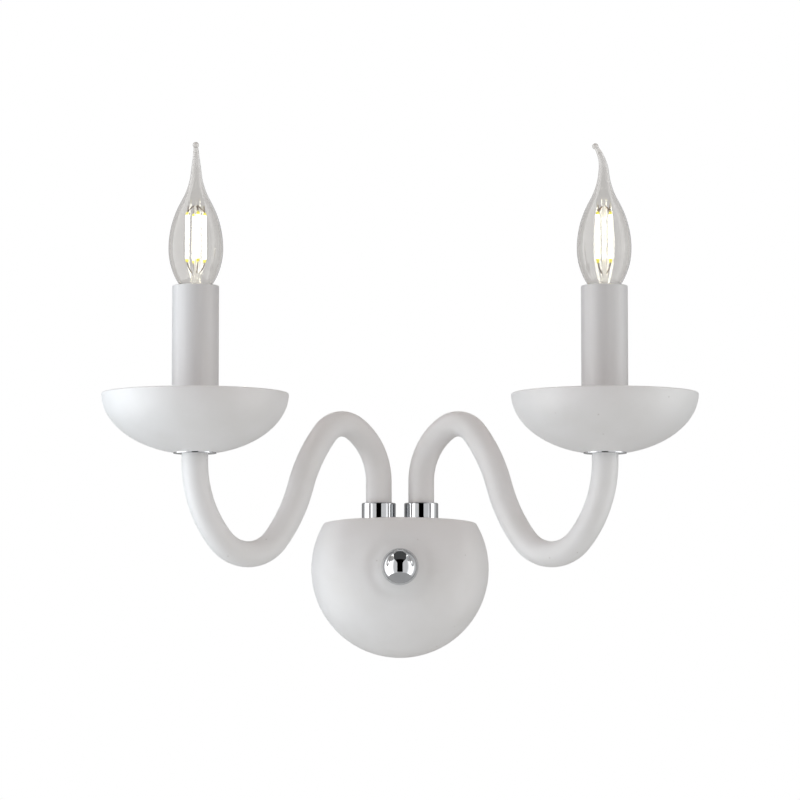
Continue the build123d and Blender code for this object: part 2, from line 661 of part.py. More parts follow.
def candle_sleeve(side, name):
    with BuildPart() as sleeve:
        with BuildSketch(level(side * CANDLE_X, CANDLE_OUT, FLOOR_Z)):
            Circle(SLEEVE_RADIUS)
            Circle(SLEEVE_RADIUS - SLEEVE_WALL, mode=Mode.SUBTRACT)
        extrude(amount=SLEEVE_LENGTH)
        fillet(sleeve.edges().group_by(Axis.Z)[-1], SLEEVE_EDGE)
    save(sleeve.part, f"{name}_candle_sleeve")


def lampholder(side, name):
    x = side * CANDLE_X
    leg_x = HOLDER_BLOCK / 2 + STRAP_THICK / 2
    leg_top = HOLDER_FOOT + STRAP_LAP
    with BuildPart() as strap:
        with BuildSketch(level(x, CANDLE_OUT, STRAP_Z)):
            Rectangle(HOLDER_BLOCK + 2 * STRAP_THICK, STRAP_WIDTH)
            Circle(NIPPLE_RADIUS + THREAD_GAP, mode=Mode.SUBTRACT)
        extrude(amount=STRAP_THICK)
        with BuildSketch(level(x, CANDLE_OUT, STRAP_Z)):
            with Locations((-leg_x, 0), (leg_x, 0)):
                Rectangle(STRAP_THICK, STRAP_WIDTH)
        extrude(amount=leg_top - STRAP_Z)
    save(strap.part, f"{name}_holder_strap")
    with BuildPart() as body:
        with BuildSketch(level(x, CANDLE_OUT, HOLDER_NECK)):
            Circle(HOLDER_RADIUS)
        extrude(amount=HOLDER_LENGTH)
        with BuildSketch(level(x, CANDLE_OUT, HOLDER_NECK)):
            Rectangle(HOLDER_BLOCK, HOLDER_BLOCK_DEPTH)
        extrude(amount=-HOLDER_BLOCK_HEIGHT)
        with BuildSketch(level(x, CANDLE_OUT, HOLDER_TOP)):
            Circle(SHELL_RADIUS + THREAD_GAP)
        extrude(amount=-SHELL_LENGTH, mode=Mode.SUBTRACT)
        with BuildSketch(level(x, CANDLE_OUT, SHELL_FOOT)):
            Circle(POCKET_RADIUS)
        extrude(amount=-POCKET_DEPTH, mode=Mode.SUBTRACT)
        with BuildSketch(level(x, CANDLE_OUT, HOLDER_FOOT)):
            Circle(WIRE_OFFSET + WIRE_RADIUS + FREE_GAP)
        extrude(amount=WIRE_IN_HOLDER + FREE_GAP, mode=Mode.SUBTRACT)
    save(body.part, f"{name}_holder_body")
    with BuildPart() as shell:
        with BuildSketch(level(x, CANDLE_OUT, SHELL_FOOT)):
            Circle(SHELL_RADIUS)
            Circle(SHELL_BORE, mode=Mode.SUBTRACT)
        extrude(amount=SHELL_LENGTH - FREE_GAP)
    save(shell.part, f"{name}_holder_shell")
    with BuildPart() as contact:
        contact_top = LAMP_FOOT - FREE_GAP
        with BuildSketch(level(x, CANDLE_OUT, POCKET_FOOT)):
            Circle(CONTACT_POST)
        extrude(amount=contact_top - POCKET_FOOT)
        with BuildSketch(level(x, CANDLE_OUT, contact_top)):
            Circle(CONTACT_DISC)
        extrude(amount=-CONTACT_THICK)
    save(contact.part, f"{name}_holder_contact")


def bulb_base(side, name):
    x = side * CANDLE_X
    with BuildPart() as cap:
        with BuildSketch(section(x, CANDLE_OUT)):
            with BuildLine():
                Polyline(
                    (CAP_RADIUS, CAP_FOOT),
                    (CAP_RADIUS, SKIRT_Z - SKIRT_LIFT / 2),
                    (SKIRT_RADIUS, SKIRT_Z + SKIRT_LIFT),
                    (SKIRT_RADIUS, SKIRT_Z + SKIRT_HEIGHT),
                    (SKIRT_RADIUS - CAP_WALL, SKIRT_Z + SKIRT_HEIGHT),
                    (SKIRT_RADIUS - CAP_WALL, SKIRT_Z + SKIRT_LIFT),
                    (CAP_RADIUS - CAP_WALL, SKIRT_Z - SKIRT_LIFT / 2),
                    (CAP_RADIUS - CAP_WALL, CAP_FOOT),
                    close=True,
                )
            make_face()
        revolve(axis=upright(x, CANDLE_OUT))
    save(cap.part, f"{name}_bulb_cap")
    with BuildPart() as insulator:
        with BuildSketch(section(x, CANDLE_OUT)):
            with BuildLine():
                Polyline(
                    (0, INSULATOR_FOOT),
                    (INSULATOR_TIP, INSULATOR_FOOT),
                    (CAP_RADIUS - CAP_WALL, CAP_FOOT),
                    (0, CAP_FOOT),
                    close=True,
                )
            make_face()
        revolve(axis=upright(x, CANDLE_OUT))
    save(insulator.part, f"{name}_bulb_insulator")
    with BuildPart() as foot:
        with BuildSketch(level(x, CANDLE_OUT, LAMP_FOOT)):
            Circle(FOOT_RADIUS)
        extrude(amount=FOOT_HEIGHT)
        fillet(foot.edges().group_by(Axis.Z)[0], FOOT_EDGE)
    save(foot.part, f"{name}_bulb_contact")


def bulb_glass(side, name):
    """A flame-shaped shell drawn out into a bent tail with a bead at its end."""
    x = side * CANDLE_X
    heading = radians(TAIL_HEADING[name])
    throat_radius, throat_z = throat_end()
    with BuildPart() as glass:
        with BuildSketch(section(x, CANDLE_OUT)):
            with BuildLine():
                outer_neck, outer_throat = flame_outline(0)
                inner_neck, inner_throat = flame_outline(GLASS_WALL)
                Line(outer_neck, inner_neck)
                Polyline(outer_throat, (inner_throat.X, outer_throat.Y), inner_throat)
            make_face()
        revolve(axis=upright(x, CANDLE_OUT))
        for step in range(TAIL_STEPS + 1):
            share = step / TAIL_STEPS
            turn = radians(TAIL_TURN * share)
            aside = TAIL_CURVE * (1 - cos(turn))
            rise = throat_z + TAIL_CURVE * sin(turn)
            at = (x + aside * cos(heading), -CANDLE_OUT + aside * sin(heading), rise)
            way = (sin(turn) * cos(heading), sin(turn) * sin(heading), cos(turn))
            with BuildSketch(Plane(origin=at, z_dir=way)):
                Circle(TAIL_END_RADIUS + (throat_radius - TAIL_END_RADIUS) * (1 - share))
        loft()
        with Locations(at):
            Sphere(BEAD_RADIUS)
    save(glass.part, f"{name}_bulb_glass")


def bulb_light(side, name):
    """Stem, filaments and support wires inside the bulb."""
    x = side * CANDLE_X
    pinch_z = GLASS_FOOT + STEM_PINCH_HEIGHT
    stem_top = FILAMENT_TOP + LAMP_WIRE_RISE
    with BuildPart() as stem:
        with BuildSketch(section(x, CANDLE_OUT)):
            with BuildLine():
                Polyline(
                    (0, GLASS_FOOT),
                    (STEM_FLARE, GLASS_FOOT),
                    (STEM_FLARE, GLASS_FOOT + STEM_LIP),
                    (STEM_PINCH, pinch_z),
                    (STEM_PINCH, pinch_z + STEM_FLARE_HEIGHT),
                    (STEM_RADIUS, pinch_z + STEM_FLARE_HEIGHT + STEM_PINCH),
                    (STEM_RADIUS, stem_top),
                    (0, stem_top),
                    close=True,
                )
            make_face()
        revolve(axis=upright(x, CANDLE_OUT))
    save(stem.part, f"{name}_bulb_stem")
    places = []
    for number in range(FILAMENT_COUNT):
        turn = 2 * pi * number / FILAMENT_COUNT + radians(FILAMENT_TURN[name])
        places.append((cos(turn), sin(turn)))
    with BuildPart() as filaments:
        for c, s in places:
            with BuildSketch(level(x + FILAMENT_RING * c, CANDLE_OUT - FILAMENT_RING * s, FILAMENT_Z)):
                Circle(FILAMENT_RADIUS)
            extrude(amount=FILAMENT_LENGTH)
    save(filaments.part, f"{name}_bulb_filaments")
    with BuildPart() as wires:
        for c, s in places:
            low_z = FILAMENT_Z - LAMP_WIRE_RADIUS
            low = Vector(x + FILAMENT_RING * c, -CANDLE_OUT + FILAMENT_RING * s, low_z)
            pinch_r = STEM_PINCH + LAMP_WIRE_RADIUS
            pinch = Vector(x + pinch_r * c, -CANDLE_OUT + pinch_r * s, FILAMENT_Z - LAMP_WIRE_DROP)
            high = low + Vector(0, 0, FILAMENT_LENGTH + 2 * LAMP_WIRE_RADIUS)
            top_r = STEM_RADIUS + LAMP_WIRE_RADIUS
            top = Vector(x + top_r * c, -CANDLE_OUT + top_r * s, stem_top)
            for start, end in ((low, pinch), (high, top)):
                way = end - start
                with BuildSketch(Plane(origin=start, z_dir=way)):
                    Circle(LAMP_WIRE_RADIUS)
                extrude(amount=way.length)
    save(wires.part, f"{name}_bulb_wires")


def wire_line(side, offset, pole_x):
    """One wire: up from its clamp, over to its arm, and along the arm to the lampholder."""
    plane = arm_plane(side, offset)
    start = plane.origin
    with BuildLine(Plane(origin=(0, start.Y, 0), x_dir=(1, 0, 0), z_dir=(0, -1, 0))) as low:
        FilletPolyline(
            (pole_x, BLOCK_TOP - WIRE_IN_BLOCK),
            (pole_x, WIRE_BEND_BOTTOM),
            (start.X, WIRE_BEND_TOP),
            (start.X, SHELF_UNDER),
            radius=WIRE_BEND_RADIUS,
        )
    with BuildLine() as line:
        add(low.line)
        add(arm_line(plane, SHELF_UNDER, HOLDER_FOOT + WIRE_IN_HOLDER))
    return line.line, start.Y


def wires():
    for name, pole_x, way in (("live_wires", -POLE_X, 1), ("neutral_wires", POLE_X, -1)):
        with BuildPart() as pair:
            for side in SIDES.values():
                at = pole_x + side * WIRE_TWIN
                line, y = wire_line(side, side * way * WIRE_OFFSET, at)
                with BuildSketch(Plane(origin=(at, y, BLOCK_TOP - WIRE_IN_BLOCK))):
                    Circle(WIRE_RADIUS)
                sweep(path=line)
        save(pair.part, name)


os.makedirs("parts", exist_ok=True)

wall_plate()
arm_bracket()
plate_screws()
cable_grommet()
terminal_block()
cover_fixings()
finial_ball()
glass_cover()
wires()

cup_nipple_z = CUP_NUT_Z - NIPPLE_TAIL
ring_pair(
    "cup_nipples", CUP_X, CUP_OUT, cup_nipple_z, CUP_FLOOR - cup_nipple_z, NIPPLE_RADIUS, NIPPLE_BORE
)
ring_pair(
    "cup_washers",
    CUP_X,
    CUP_OUT,
    SHELF_UNDER - WASHER_THICK,
    WASHER_THICK,
    WASHER_RADIUS,
    NIPPLE_RADIUS + FREE_GAP,
)
nut_pair("cup_nuts", CUP_X, CUP_OUT, CUP_NUT_Z)
ring_pair(
    "cup_cement",
    CUP_X,
    CUP_OUT,
    ARM_FOOT,
    CUP_TOP - CEMENT_LIP - ARM_FOOT,
    CUP_BORE - THREAD_GAP,
    TUBE_RADIUS + THREAD_GAP,
)
tip_nipple_z = SEAT_Z - TIP_NIPPLE_DEPTH
tip_nipple_top = STRAP_Z + STRAP_THICK + NIPPLE_TAIL
ring_pair(
    "tip_nipples",
    CANDLE_X,
    CANDLE_OUT,
    tip_nipple_z,
    tip_nipple_top - tip_nipple_z,
    NIPPLE_RADIUS,
    NIPPLE_BORE,
)
ring_pair(
    "tip_cement",
    CANDLE_X,
    CANDLE_OUT,
    TIP_FOOT,
    TIP_STRAIGHT,
    TUBE_BORE - THREAD_GAP,
    NIPPLE_RADIUS + THREAD_GAP,
)
ring_pair(
    "bowl_washers", CANDLE_X, CANDLE_OUT, FLOOR_Z, WASHER_THICK, BOWL_WASHER_RADIUS, NIPPLE_RADIUS + FREE_GAP
)
nut_pair("bowl_nuts", CANDLE_X, CANDLE_OUT, BOWL_NUT_Z)

for side_name, side_sign in SIDES.items():
    arm_cup(side_sign, side_name)
    glass_arm(side_sign, side_name)
    bowl_seat(side_sign, side_name)
    drip_bowl(side_sign, side_name)
    candle_sleeve(side_sign, side_name)
    lampholder(side_sign, side_name)
    bulb_base(side_sign, side_name)
    bulb_glass(side_sign, side_name)
    bulb_light(side_sign, side_name)
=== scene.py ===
import json
from math import acos, asin, atan2, cos, degrees, hypot, pi, radians, sin, sqrt

import bmesh
import bpy
import numpy as np
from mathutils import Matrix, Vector

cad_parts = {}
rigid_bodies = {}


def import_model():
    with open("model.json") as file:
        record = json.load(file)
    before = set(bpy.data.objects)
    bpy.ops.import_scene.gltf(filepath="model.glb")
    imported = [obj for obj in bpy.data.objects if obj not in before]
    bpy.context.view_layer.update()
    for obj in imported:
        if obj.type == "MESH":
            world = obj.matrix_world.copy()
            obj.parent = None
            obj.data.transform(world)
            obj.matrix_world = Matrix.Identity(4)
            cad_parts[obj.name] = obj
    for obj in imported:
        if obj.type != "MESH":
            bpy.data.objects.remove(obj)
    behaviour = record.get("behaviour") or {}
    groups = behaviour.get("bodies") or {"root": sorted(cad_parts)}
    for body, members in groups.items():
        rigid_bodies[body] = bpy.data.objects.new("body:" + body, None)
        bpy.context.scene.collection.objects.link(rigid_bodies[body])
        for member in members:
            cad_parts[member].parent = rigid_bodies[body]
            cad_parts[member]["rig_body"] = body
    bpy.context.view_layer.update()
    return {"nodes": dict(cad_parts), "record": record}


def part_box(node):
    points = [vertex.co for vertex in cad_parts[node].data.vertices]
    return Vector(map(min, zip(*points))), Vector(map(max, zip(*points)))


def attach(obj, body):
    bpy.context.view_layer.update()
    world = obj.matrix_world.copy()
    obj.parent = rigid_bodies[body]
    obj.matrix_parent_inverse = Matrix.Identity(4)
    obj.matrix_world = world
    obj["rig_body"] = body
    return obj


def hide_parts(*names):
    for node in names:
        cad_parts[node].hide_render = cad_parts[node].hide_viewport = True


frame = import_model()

# Candle wall light with two bent glass arms, dressed over its CAD frame.
# Lengths are millimetres until a mesh is made. The wall is y = 0 and the light stands out of it towards -y.
MM = 0.001
SIDES = {"left": -1, "right": 1}
SLOT_OF = {entry["node"]: entry["material_slot"] for entry in frame["record"]["subparts"]}
FINISHES = {}


def upright_node(name):
    """Axis, radius, foot and top of an upright round CAD node: x, out of the wall, radius, low z, high z."""
    low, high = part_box(name)
    x, out = (low.x + high.x) / 2, -(low.y + high.y) / 2
    return x / MM, out / MM, (high.x - low.x) / 2 / MM, low.z / MM, high.z / MM


# Sizes read from the frame
CUP_X, CUP_OUT, CUP_RADIUS, CUP_FOOT, CUP_TOP = upright_node("right_arm_cup")
CANDLE_X, CANDLE_OUT, SLEEVE_RADIUS, SLEEVE_FOOT, SLEEVE_TOP = upright_node("right_candle_sleeve")
_, _, BOWL_RADIUS, BOWL_BASE, BOWL_RIM = upright_node("right_drip_bowl")
_, _, SEAT_RADIUS, SEAT_FOOT, SEAT_TOP = upright_node("right_bowl_seat")
_, _, FLAME_RADIUS, GLASS_FOOT, _ = upright_node("right_bulb_glass")
_, _, SKIRT_RADIUS, CAP_FOOT, CAP_TOP = upright_node("right_bulb_cap")
_, _, _, FILAMENT_FOOT, FILAMENT_TOP = upright_node("right_bulb_filaments")
_, _, _, STEM_FOOT, STEM_TOP = upright_node("right_bulb_stem")
ARM_FOOT = upright_node("right_glass_arm")[3]
_, COVER_HIGH = (np.array(corner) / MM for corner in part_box("glass_cover"))
BALL_LOW, BALL_HIGH = (np.array(corner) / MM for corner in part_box("finial_ball"))

# Glass arms: u runs outwards from the cup in the arm's upright plane
TUBE_RADIUS = 8.5
TUBE_BORE = 6.0
RISER_TOP = 57.2
CREST_U, CREST_Z, CREST_RADIUS = 28.1, 77.3, 17.0
FLANK_CURVE = 102.5
BEND_BACK, BEND_Z, BEND_RADIUS = 39.1, 34.4, 27.0
TIP_STRAIGHT = 5.0
BEND_FLATTEN = 0.025
ARM_ROWS, ARM_SIDES, CURVE_SPREAD = 300, 56, 12

# Cups, seats and sleeves
NIPPLE_HOLE = 5.05
CUP_BORE = 9.3
CUP_BASE = 4.0
CUP_EDGE = 0.8
SEAT_HOLE = 5.2
SEAT_EDGE = 0.3
SLEEVE_WALL = 1.5
SLEEVE_EDGE = 0.7

# Drip bowls
BOWL_CURVE, BOWL_INNER_CURVE = 39.2, 35.4
BOWL_WALL = 3.5
BOWL_HOLE = 5.4
RIM_EDGE, RIM_LEAN = 1.2, 6

# Bulbs
GLASS_WALL = 0.9
NECK_RADIUS = 7.2
LOWER_CURVE, LOWER_TURN = 43.0, 34.0
UPPER_CURVE, UPPER_TURN = 62.0, 28.0
CONE_LENGTH = 3.5
THROAT_CURVE, THROAT_TURN = 46.0, 23.0
TAIL_CURVE, TAIL_TURN = 28.0, 36.0
TAIL_END_RADIUS, BEAD_RADIUS = 1.25, 2.0
TAIL_HOLLOW = 13.0
TAIL_HEADING = {"left": -90.0, "right": 180.0}
CAP_RADIUS = 6.9
CAP_SHEET = 0.3
CAP_THREAD = 15.5
SKIRT_SLOPE = 0.75
THREAD_PITCH, THREAD_DEPTH, THREAD_GAP = 2.822, 0.7, 1
THREAD_ROWS, SKIRT_ROWS = 110, 12
STEM_FLARE, STEM_PINCH, STEM_RADIUS = 5.6, 2.0, 1.2
STEM_LIP, STEM_PINCH_RISE, STEM_PINCH_HEIGHT = 1.0, 12.0, 3.0
STEM_TAPER, PINCH_WIDEN, PINCH_THIN = 2.2, 0.8, 0.45
FILAMENT_COUNT, FILAMENT_RING, FILAMENT_RADIUS = 4, 5.75, 1.05
FILAMENT_TURN = {"left": 16.5, "right": 42.0}
LAMP_WIRE_RADIUS, LAMP_WIRE_DROP = 0.3, 7.0
WIRE_KNEE, WIRE_STAND = 0.9, 0.92

# Wall cover and finial
COVER_RADIUS = COVER_HIGH[0]
COVER_GAP = -COVER_HIGH[1]
COVER_WALL = 3.5
COVER_CURVE, COVER_INNER_CURVE = 39.5, 36.0
COVER_CUT, COVER_CUT_TILT = 30.0, 5.5
COVER_EDGE, EDGE_POWER = 1.2, 2.6
CUT_SIDES, RIM_SIDES = 110, 170
COLLAR_START, COLLAR_HOLLOW, COLLAR_FLANK, COLLAR_TOP = 26.0, 20.0, 16.0, 9.0
HOLLOW_SLOPE, FLANK_SLOPE = 4.0, 18.0
COVER_HOLE = 3.2
BALL_RADIUS = (BALL_HIGH[0] - BALL_LOW[0]) / 2
BALL_FOOT = -BALL_HIGH[1]
BALL_CENTRE = -BALL_LOW[1] - BALL_RADIUS
BALL_SEAT = sqrt(BALL_RADIUS**2 - (BALL_CENTRE - BALL_FOOT) ** 2)
STUD_HOLE, STUD_HOLE_DEPTH = 2.55, 13.5

# What follows from these
REACH = hypot(CANDLE_X - CUP_X, CANDLE_OUT - CUP_OUT)
SPLAY = atan2(CANDLE_OUT - CUP_OUT, CANDLE_X - CUP_X)
RISER_RISE = CREST_Z - RISER_TOP
RISER_CURVE = (CREST_U**2 + RISER_RISE**2 - CREST_RADIUS**2) / (2 * (CREST_U - CREST_RADIUS))
RISER_TURN = degrees(atan2(RISER_RISE, RISER_CURVE - CREST_U))
TIP_FOOT = SEAT_FOOT - TIP_STRAIGHT
TIP_RISE = TIP_FOOT - BEND_Z
TIP_CURVE = (BEND_BACK**2 + TIP_RISE**2 - BEND_RADIUS**2) / (2 * (BEND_BACK - BEND_RADIUS))
TIP_TURN = degrees(atan2(TIP_RISE, TIP_CURVE - BEND_BACK))
FLANK_ACROSS = REACH - BEND_BACK - CREST_U
FLANK_DROP = CREST_Z - BEND_Z
END_RADII = CREST_RADIUS + BEND_RADIUS
FLANK_ROOM = 4 * FLANK_CURVE * (2 * FLANK_CURVE - END_RADII)
FLANK_BOW = (FLANK_ACROSS**2 + FLANK_DROP**2 - END_RADII**2) / FLANK_ROOM
FLANK_TURN = degrees(acos(1 - FLANK_BOW))
FLANK_NORMAL = degrees(
    atan2(2 * FLANK_CURVE * sin(radians(FLANK_TURN)), END_RADII - 2 * FLANK_CURVE * FLANK_BOW)
    - atan2(FLANK_DROP, FLANK_ACROSS)
)
LOWER_DROP = LOWER_CURVE * (1 - cos(radians(LOWER_TURN)))
NECK_CURVE = (FLAME_RADIUS - LOWER_DROP - NECK_RADIUS) / (1 - cos(radians(LOWER_TURN)))
BELLY_Z = GLASS_FOOT + (LOWER_CURVE + NECK_CURVE) * sin(radians(LOWER_TURN))
SKIRT_Z = CAP_FOOT + CAP_THREAD

# Part of a noise's range over which a finish goes from its first colour and roughness to its second
NOISE_LOW, NOISE_HIGH = 0.3, 0.7

# Meshes: corners closer than this, in metres, are merged, points of a line closer than this, in mm, are one,
# and faces that meet at more than this angle, in degrees, keep a sharp edge
MERGE_DISTANCE = 1e-6
SAME_POINT = 1e-6
SHARP_ANGLE = 32


def add_node(tree, kind, settings, links):
    """Adds one node: settings go to its sockets or properties by name, links join its sockets to outputs."""
    made = tree.nodes.new(kind)
    for name, value in settings.items():
        if name in made.inputs:
            made.inputs[name].default_value = value
        else:
            setattr(made, name, value)
    for name, source in links.items():
        tree.links.new(source, made.inputs[name])
    return made


def linear(code):
    """An sRGB hex colour as linear light: c / 12.92 near black, ((c + 0.055) / 1.055) to the power 2.4
    above."""
    channel = np.array([int(code[at:at + 2], 16) for at in (1, 3, 5)]) / 255
    light = np.where(channel <= 0.04045, channel / 12.92, ((channel + 0.055) / 1.055) ** 2.4)
    return (*light.tolist(), 1.0)


def finish(slot, name, colours, roughness, grain, relief, relief_grain, **sockets):
    """A surface whose colour and roughness wander between two values over a noise with cells of grain mm
    along x, y and z, and whose bump of relief mm has cells of relief_grain mm. Constants go to the shader."""
    material = bpy.data.materials.new(name)
    material.use_nodes = True
    tree = material.node_tree
    shader = tree.nodes["Principled BSDF"]
    for socket, value in sockets.items():
        shader.inputs[socket.replace("_", " ")].default_value = value
    place = add_node(tree, "ShaderNodeTexCoord", {}, {})
    cells = [1 / (size * MM) for size in grain]
    spread = add_node(tree, "ShaderNodeMapping", {"Scale": cells}, {"Vector": place.outputs["Object"]})
    wander = add_node(
        tree, "ShaderNodeTexNoise", {"Scale": 1.0, "Detail": 3.0}, {"Vector": spread.outputs["Vector"]}
    )
    tone = add_node(tree, "ShaderNodeValToRGB", {}, {"Fac": wander.outputs["Fac"]})
    for stop, position, colour in zip(tone.color_ramp.elements, (NOISE_LOW, NOISE_HIGH), colours):
        stop.position = position
        stop.color = linear(colour)
    tree.links.new(tone.outputs["Color"], shader.inputs["Base Color"])
    shader.inputs["Roughness"].default_value = roughness[0]
    if roughness[1] > roughness[0]:
        span = {"From Min": NOISE_LOW, "From Max": NOISE_HIGH, "To Min": roughness[0], "To Max": roughness[1]}
        sheen = add_node(tree, "ShaderNodeMapRange", span, {"Value": wander.outputs["Fac"]})
        tree.links.new(sheen.outputs["Result"], shader.inputs["Roughness"])
    cells = [1 / (size * MM) for size in relief_grain]
    spread = add_node(tree, "ShaderNodeMapping", {"Scale": cells}, {"Vector": place.outputs["Object"]})
    height = add_node(
        tree, "ShaderNodeTexNoise", {"Scale": 1.0, "Detail": 2.0}, {"Vector": spread.outputs["Vector"]}
    )
    bump = add_node(
        tree, "ShaderNodeBump", {"Strength": 1.0, "Distance": relief * MM}, {"Height": height.outputs["Fac"]}
    )
    tree.links.new(bump.outputs["Normal"], shader.inputs["Normal"])
    FINISHES[slot] = material
    return tree, shader, place, tone


def satin_opal_glass():
    # Opal glass, blown and acid etched: milky white with a soft broad sheen, a faint cloud in the body
    # and a few pin-head seeds under the skin.
    tree, shader, place, tone = finish(
        "opal_glass", "satin_opal_glass", ("#F5F4F3", "#FAF9F9"), (0.36, 0.44),
        (24, 24, 24), 0.006, (0.7, 0.7, 0.7),
        IOR=1.5, Subsurface_Weight=0.12, Subsurface_Radius=(1.0, 1.0, 1.0), Subsurface_Scale=0.0015,
    )
    seed_cell, seed_size, seed_core, seed_halo = 14.0, 0.45, 0.2, 1.8
    seeds = add_node(
        tree, "ShaderNodeTexVoronoi", {"Scale": 1 / (seed_cell * MM)}, {"Vector": place.outputs["Object"]}
    )
    span = {"From Min": seed_core * seed_size / seed_cell, "From Max": seed_halo * seed_size / seed_cell}
    clear = add_node(tree, "ShaderNodeMapRange", span, {"Value": seeds.outputs["Distance"]})
    body = add_node(tree, "ShaderNodeMix", {"data_type": "RGBA"}, {"Factor": clear.outputs["Result"]})
    body.inputs[6].default_value = linear("#DDDAD8")
    tree.links.new(tone.outputs["Color"], body.inputs[7])
    tree.links.new(body.outputs[2], shader.inputs["Base Color"])


def clear_blown_glass():
    # Soda-lime glass, blown in a mould: clear, slightly smoky, and greyer where the eye looks along its wall
    # or through the solid tail.
    tree, _, _, _ = finish(
        "clear_glass", "clear_blown_glass", ("#E3E2E1", "#E7E6E5"), (0.0, 0.0),
        (20, 20, 20), 0.002, (12, 12, 18),
        IOR=1.45, Transmission_Weight=1.0,
    )
    per_metre = 300.0
    body = {"Color": linear("#E2E0DD"), "Density": per_metre}
    smoke = add_node(tree, "ShaderNodeVolumeAbsorption", body, {})
    tree.links.new(smoke.outputs["Volume"], tree.nodes["Material Output"].inputs["Volume"])


def pressed_stem_glass():
    # Lead-free stem glass, drawn and pinched: milky with drawn-out streaks along its length, and a faint
    # painted glow
    #     # that stands in for the light that the filaments send down it.
    finish(
        "stem_glass", "pressed_stem_glass", ("#F1F0EC", "#FAF9F6"), (0.02, 0.10),
        (2, 2, 8), 0.03, (1.5, 1.5, 6),
        IOR=1.5, Transmission_Weight=0.8, Emission_Color=linear("#FFFCF3"), Emission_Strength=0.2,
    )


def bright_chrome():
    # Chrome over nickel on polished brass: a mirror with a faint haze of wiping marks.
    finish(
        "chrome", "bright_chrome_plate", ("#C0C2C4", "#C8C9CB"), (0.02, 0.05), (7, 7, 7), 0.001, (5, 5, 5),
        Metallic=1.0,
    )


def moulded_sleeve():
    # White polypropylene sleeve, extruded with a satin skin: smooth, with faint draw lines along its length.
    finish(
        "sleeve_white", "satin_white_polypropylene", ("#E3E2E2", "#E8E7E7"), (0.32, 0.38),
        (5, 5, 70), 0.004, (3, 3, 90),
        IOR=1.49, Subsurface_Weight=0.08, Subsurface_Radius=(1.0, 1.0, 0.9), Subsurface_Scale=0.002,
    )


def zinc_plated_steel():
    # Rolled mild steel, zinc plated: cool grey with a faint blue passivation cloud and fine rolling lines.
    finish(
        "zinc_steel", "zinc_plated_steel", ("#A9AEB6", "#C2C3C2"), (0.28, 0.44),
        (9, 6, 4), 0.01, (6, 0.5, 0.5),
        Metallic=1.0,
    )


def turned_brass():
    # Plain brass, turned: warm yellow, dulled in patches, with fine turning lines.
    finish(
        "brass", "turned_brass", ("#A9853F", "#CDAA5E"), (0.22, 0.38), (4, 4, 4), 0.008, (2, 2, 0.4),
        Metallic=1.0,
    )


def nickel_lamp_cap():
    # Thin brass sheet, nickel plated and rolled into a thread: pale warm grey with dull patches.
    finish(
        "nickel_cap", "nickel_plated_cap", ("#B1ABA0", "#CBC6BC"), (0.20, 0.36),
        (3, 3, 2), 0.008, (1.2, 1.2, 1.2),
        Metallic=1.0,
    )


def moulded_holder():
    # White glass-filled polyester, moulded: matt with a fine grain.
    finish(
        "holder_white", "moulded_white_polyester", ("#DCDAD4", "#E6E4DF"), (0.42, 0.55),
        (6, 6, 6), 0.02, (0.5, 0.5, 0.5),
        IOR=1.55,
    )


def terminal_nylon():
    # Natural nylon, moulded: milky, slightly yellow and a little waxy.
    finish(
        "terminal_plastic", "natural_nylon", ("#DEDBCB", "#E9E6DA"), (0.32, 0.42), (8, 8, 8), 0.01, (1, 1, 1),
        IOR=1.53, Subsurface_Weight=0.3, Subsurface_Radius=(1.0, 0.95, 0.8), Subsurface_Scale=0.003,
    )


def setting_plaster():
    # Lamp plaster, set in the joint: chalky with fine pits.
    finish(
        "cement", "set_lamp_plaster", ("#C7C2B5", "#DCD8CD"), (0.85, 0.95), (2, 2, 2), 0.15, (0.6, 0.6, 0.6),
    )


def black_vitrite():
    # Black glass cast into the cap: almost black and shiny with small ripples.
    finish(
        "black_insulator", "black_vitrite", ("#0E0D10", "#1A181C"), (0.08, 0.22),
        (3, 3, 3), 0.03, (1.5, 1.5, 1.5),
        IOR=1.6,
    )


def tinned_solder():
    # Tin solder left as it set: soft bright grey with shallow dimples.
    finish(
        "solder", "tinned_solder", ("#A6A7A8", "#C0C0BF"), (0.24, 0.42),
        (1.5, 1.5, 1.5), 0.06, (1.1, 1.1, 1.1),
        Metallic=1.0,
    )


def drawn_lamp_wire():
    # Nickel-iron wire, drawn and heated in the flame: brown grey with straw tints.
    finish(
        "support_wire", "drawn_nickel_iron", ("#6A5442", "#B5A592"), (0.25, 0.40),
        (1, 1, 2), 0.004, (0.4, 0.4, 3),
        Metallic=1.0,
    )


def grommet_rubber():
    # Black rubber, moulded: dull, with a dusty bloom.
    finish(
        "rubber_black", "moulded_black_rubber", ("#161617", "#242424"), (0.62, 0.78),
        (4, 4, 4), 0.02, (0.8, 0.8, 0.8),
    )


def soft_washer():
    # Soft PVC washer, punched: milky clear with a matt face.
    finish(
        "clear_washer", "soft_clear_pvc", ("#DCDDDD", "#E8E9E9"), (0.25, 0.38), (3, 3, 3), 0.01, (1, 1, 1),
        IOR=1.53, Transmission_Weight=0.6,
    )


def wire_insulation():
    # PVC insulation, extruded: plain colour, slightly shiny, with faint draw lines.
    for slot, name, dark, light in (
        ("wire_brown", "brown_pvc_insulation", "#4A2C1A", "#5C3A25"),
        ("wire_blue", "blue_pvc_insulation", "#1F4E96", "#2B62B0"),
    ):
        finish(slot, name, (dark, light), (0.34, 0.44), (3, 3, 12), 0.01, (1, 1, 8), IOR=1.53)


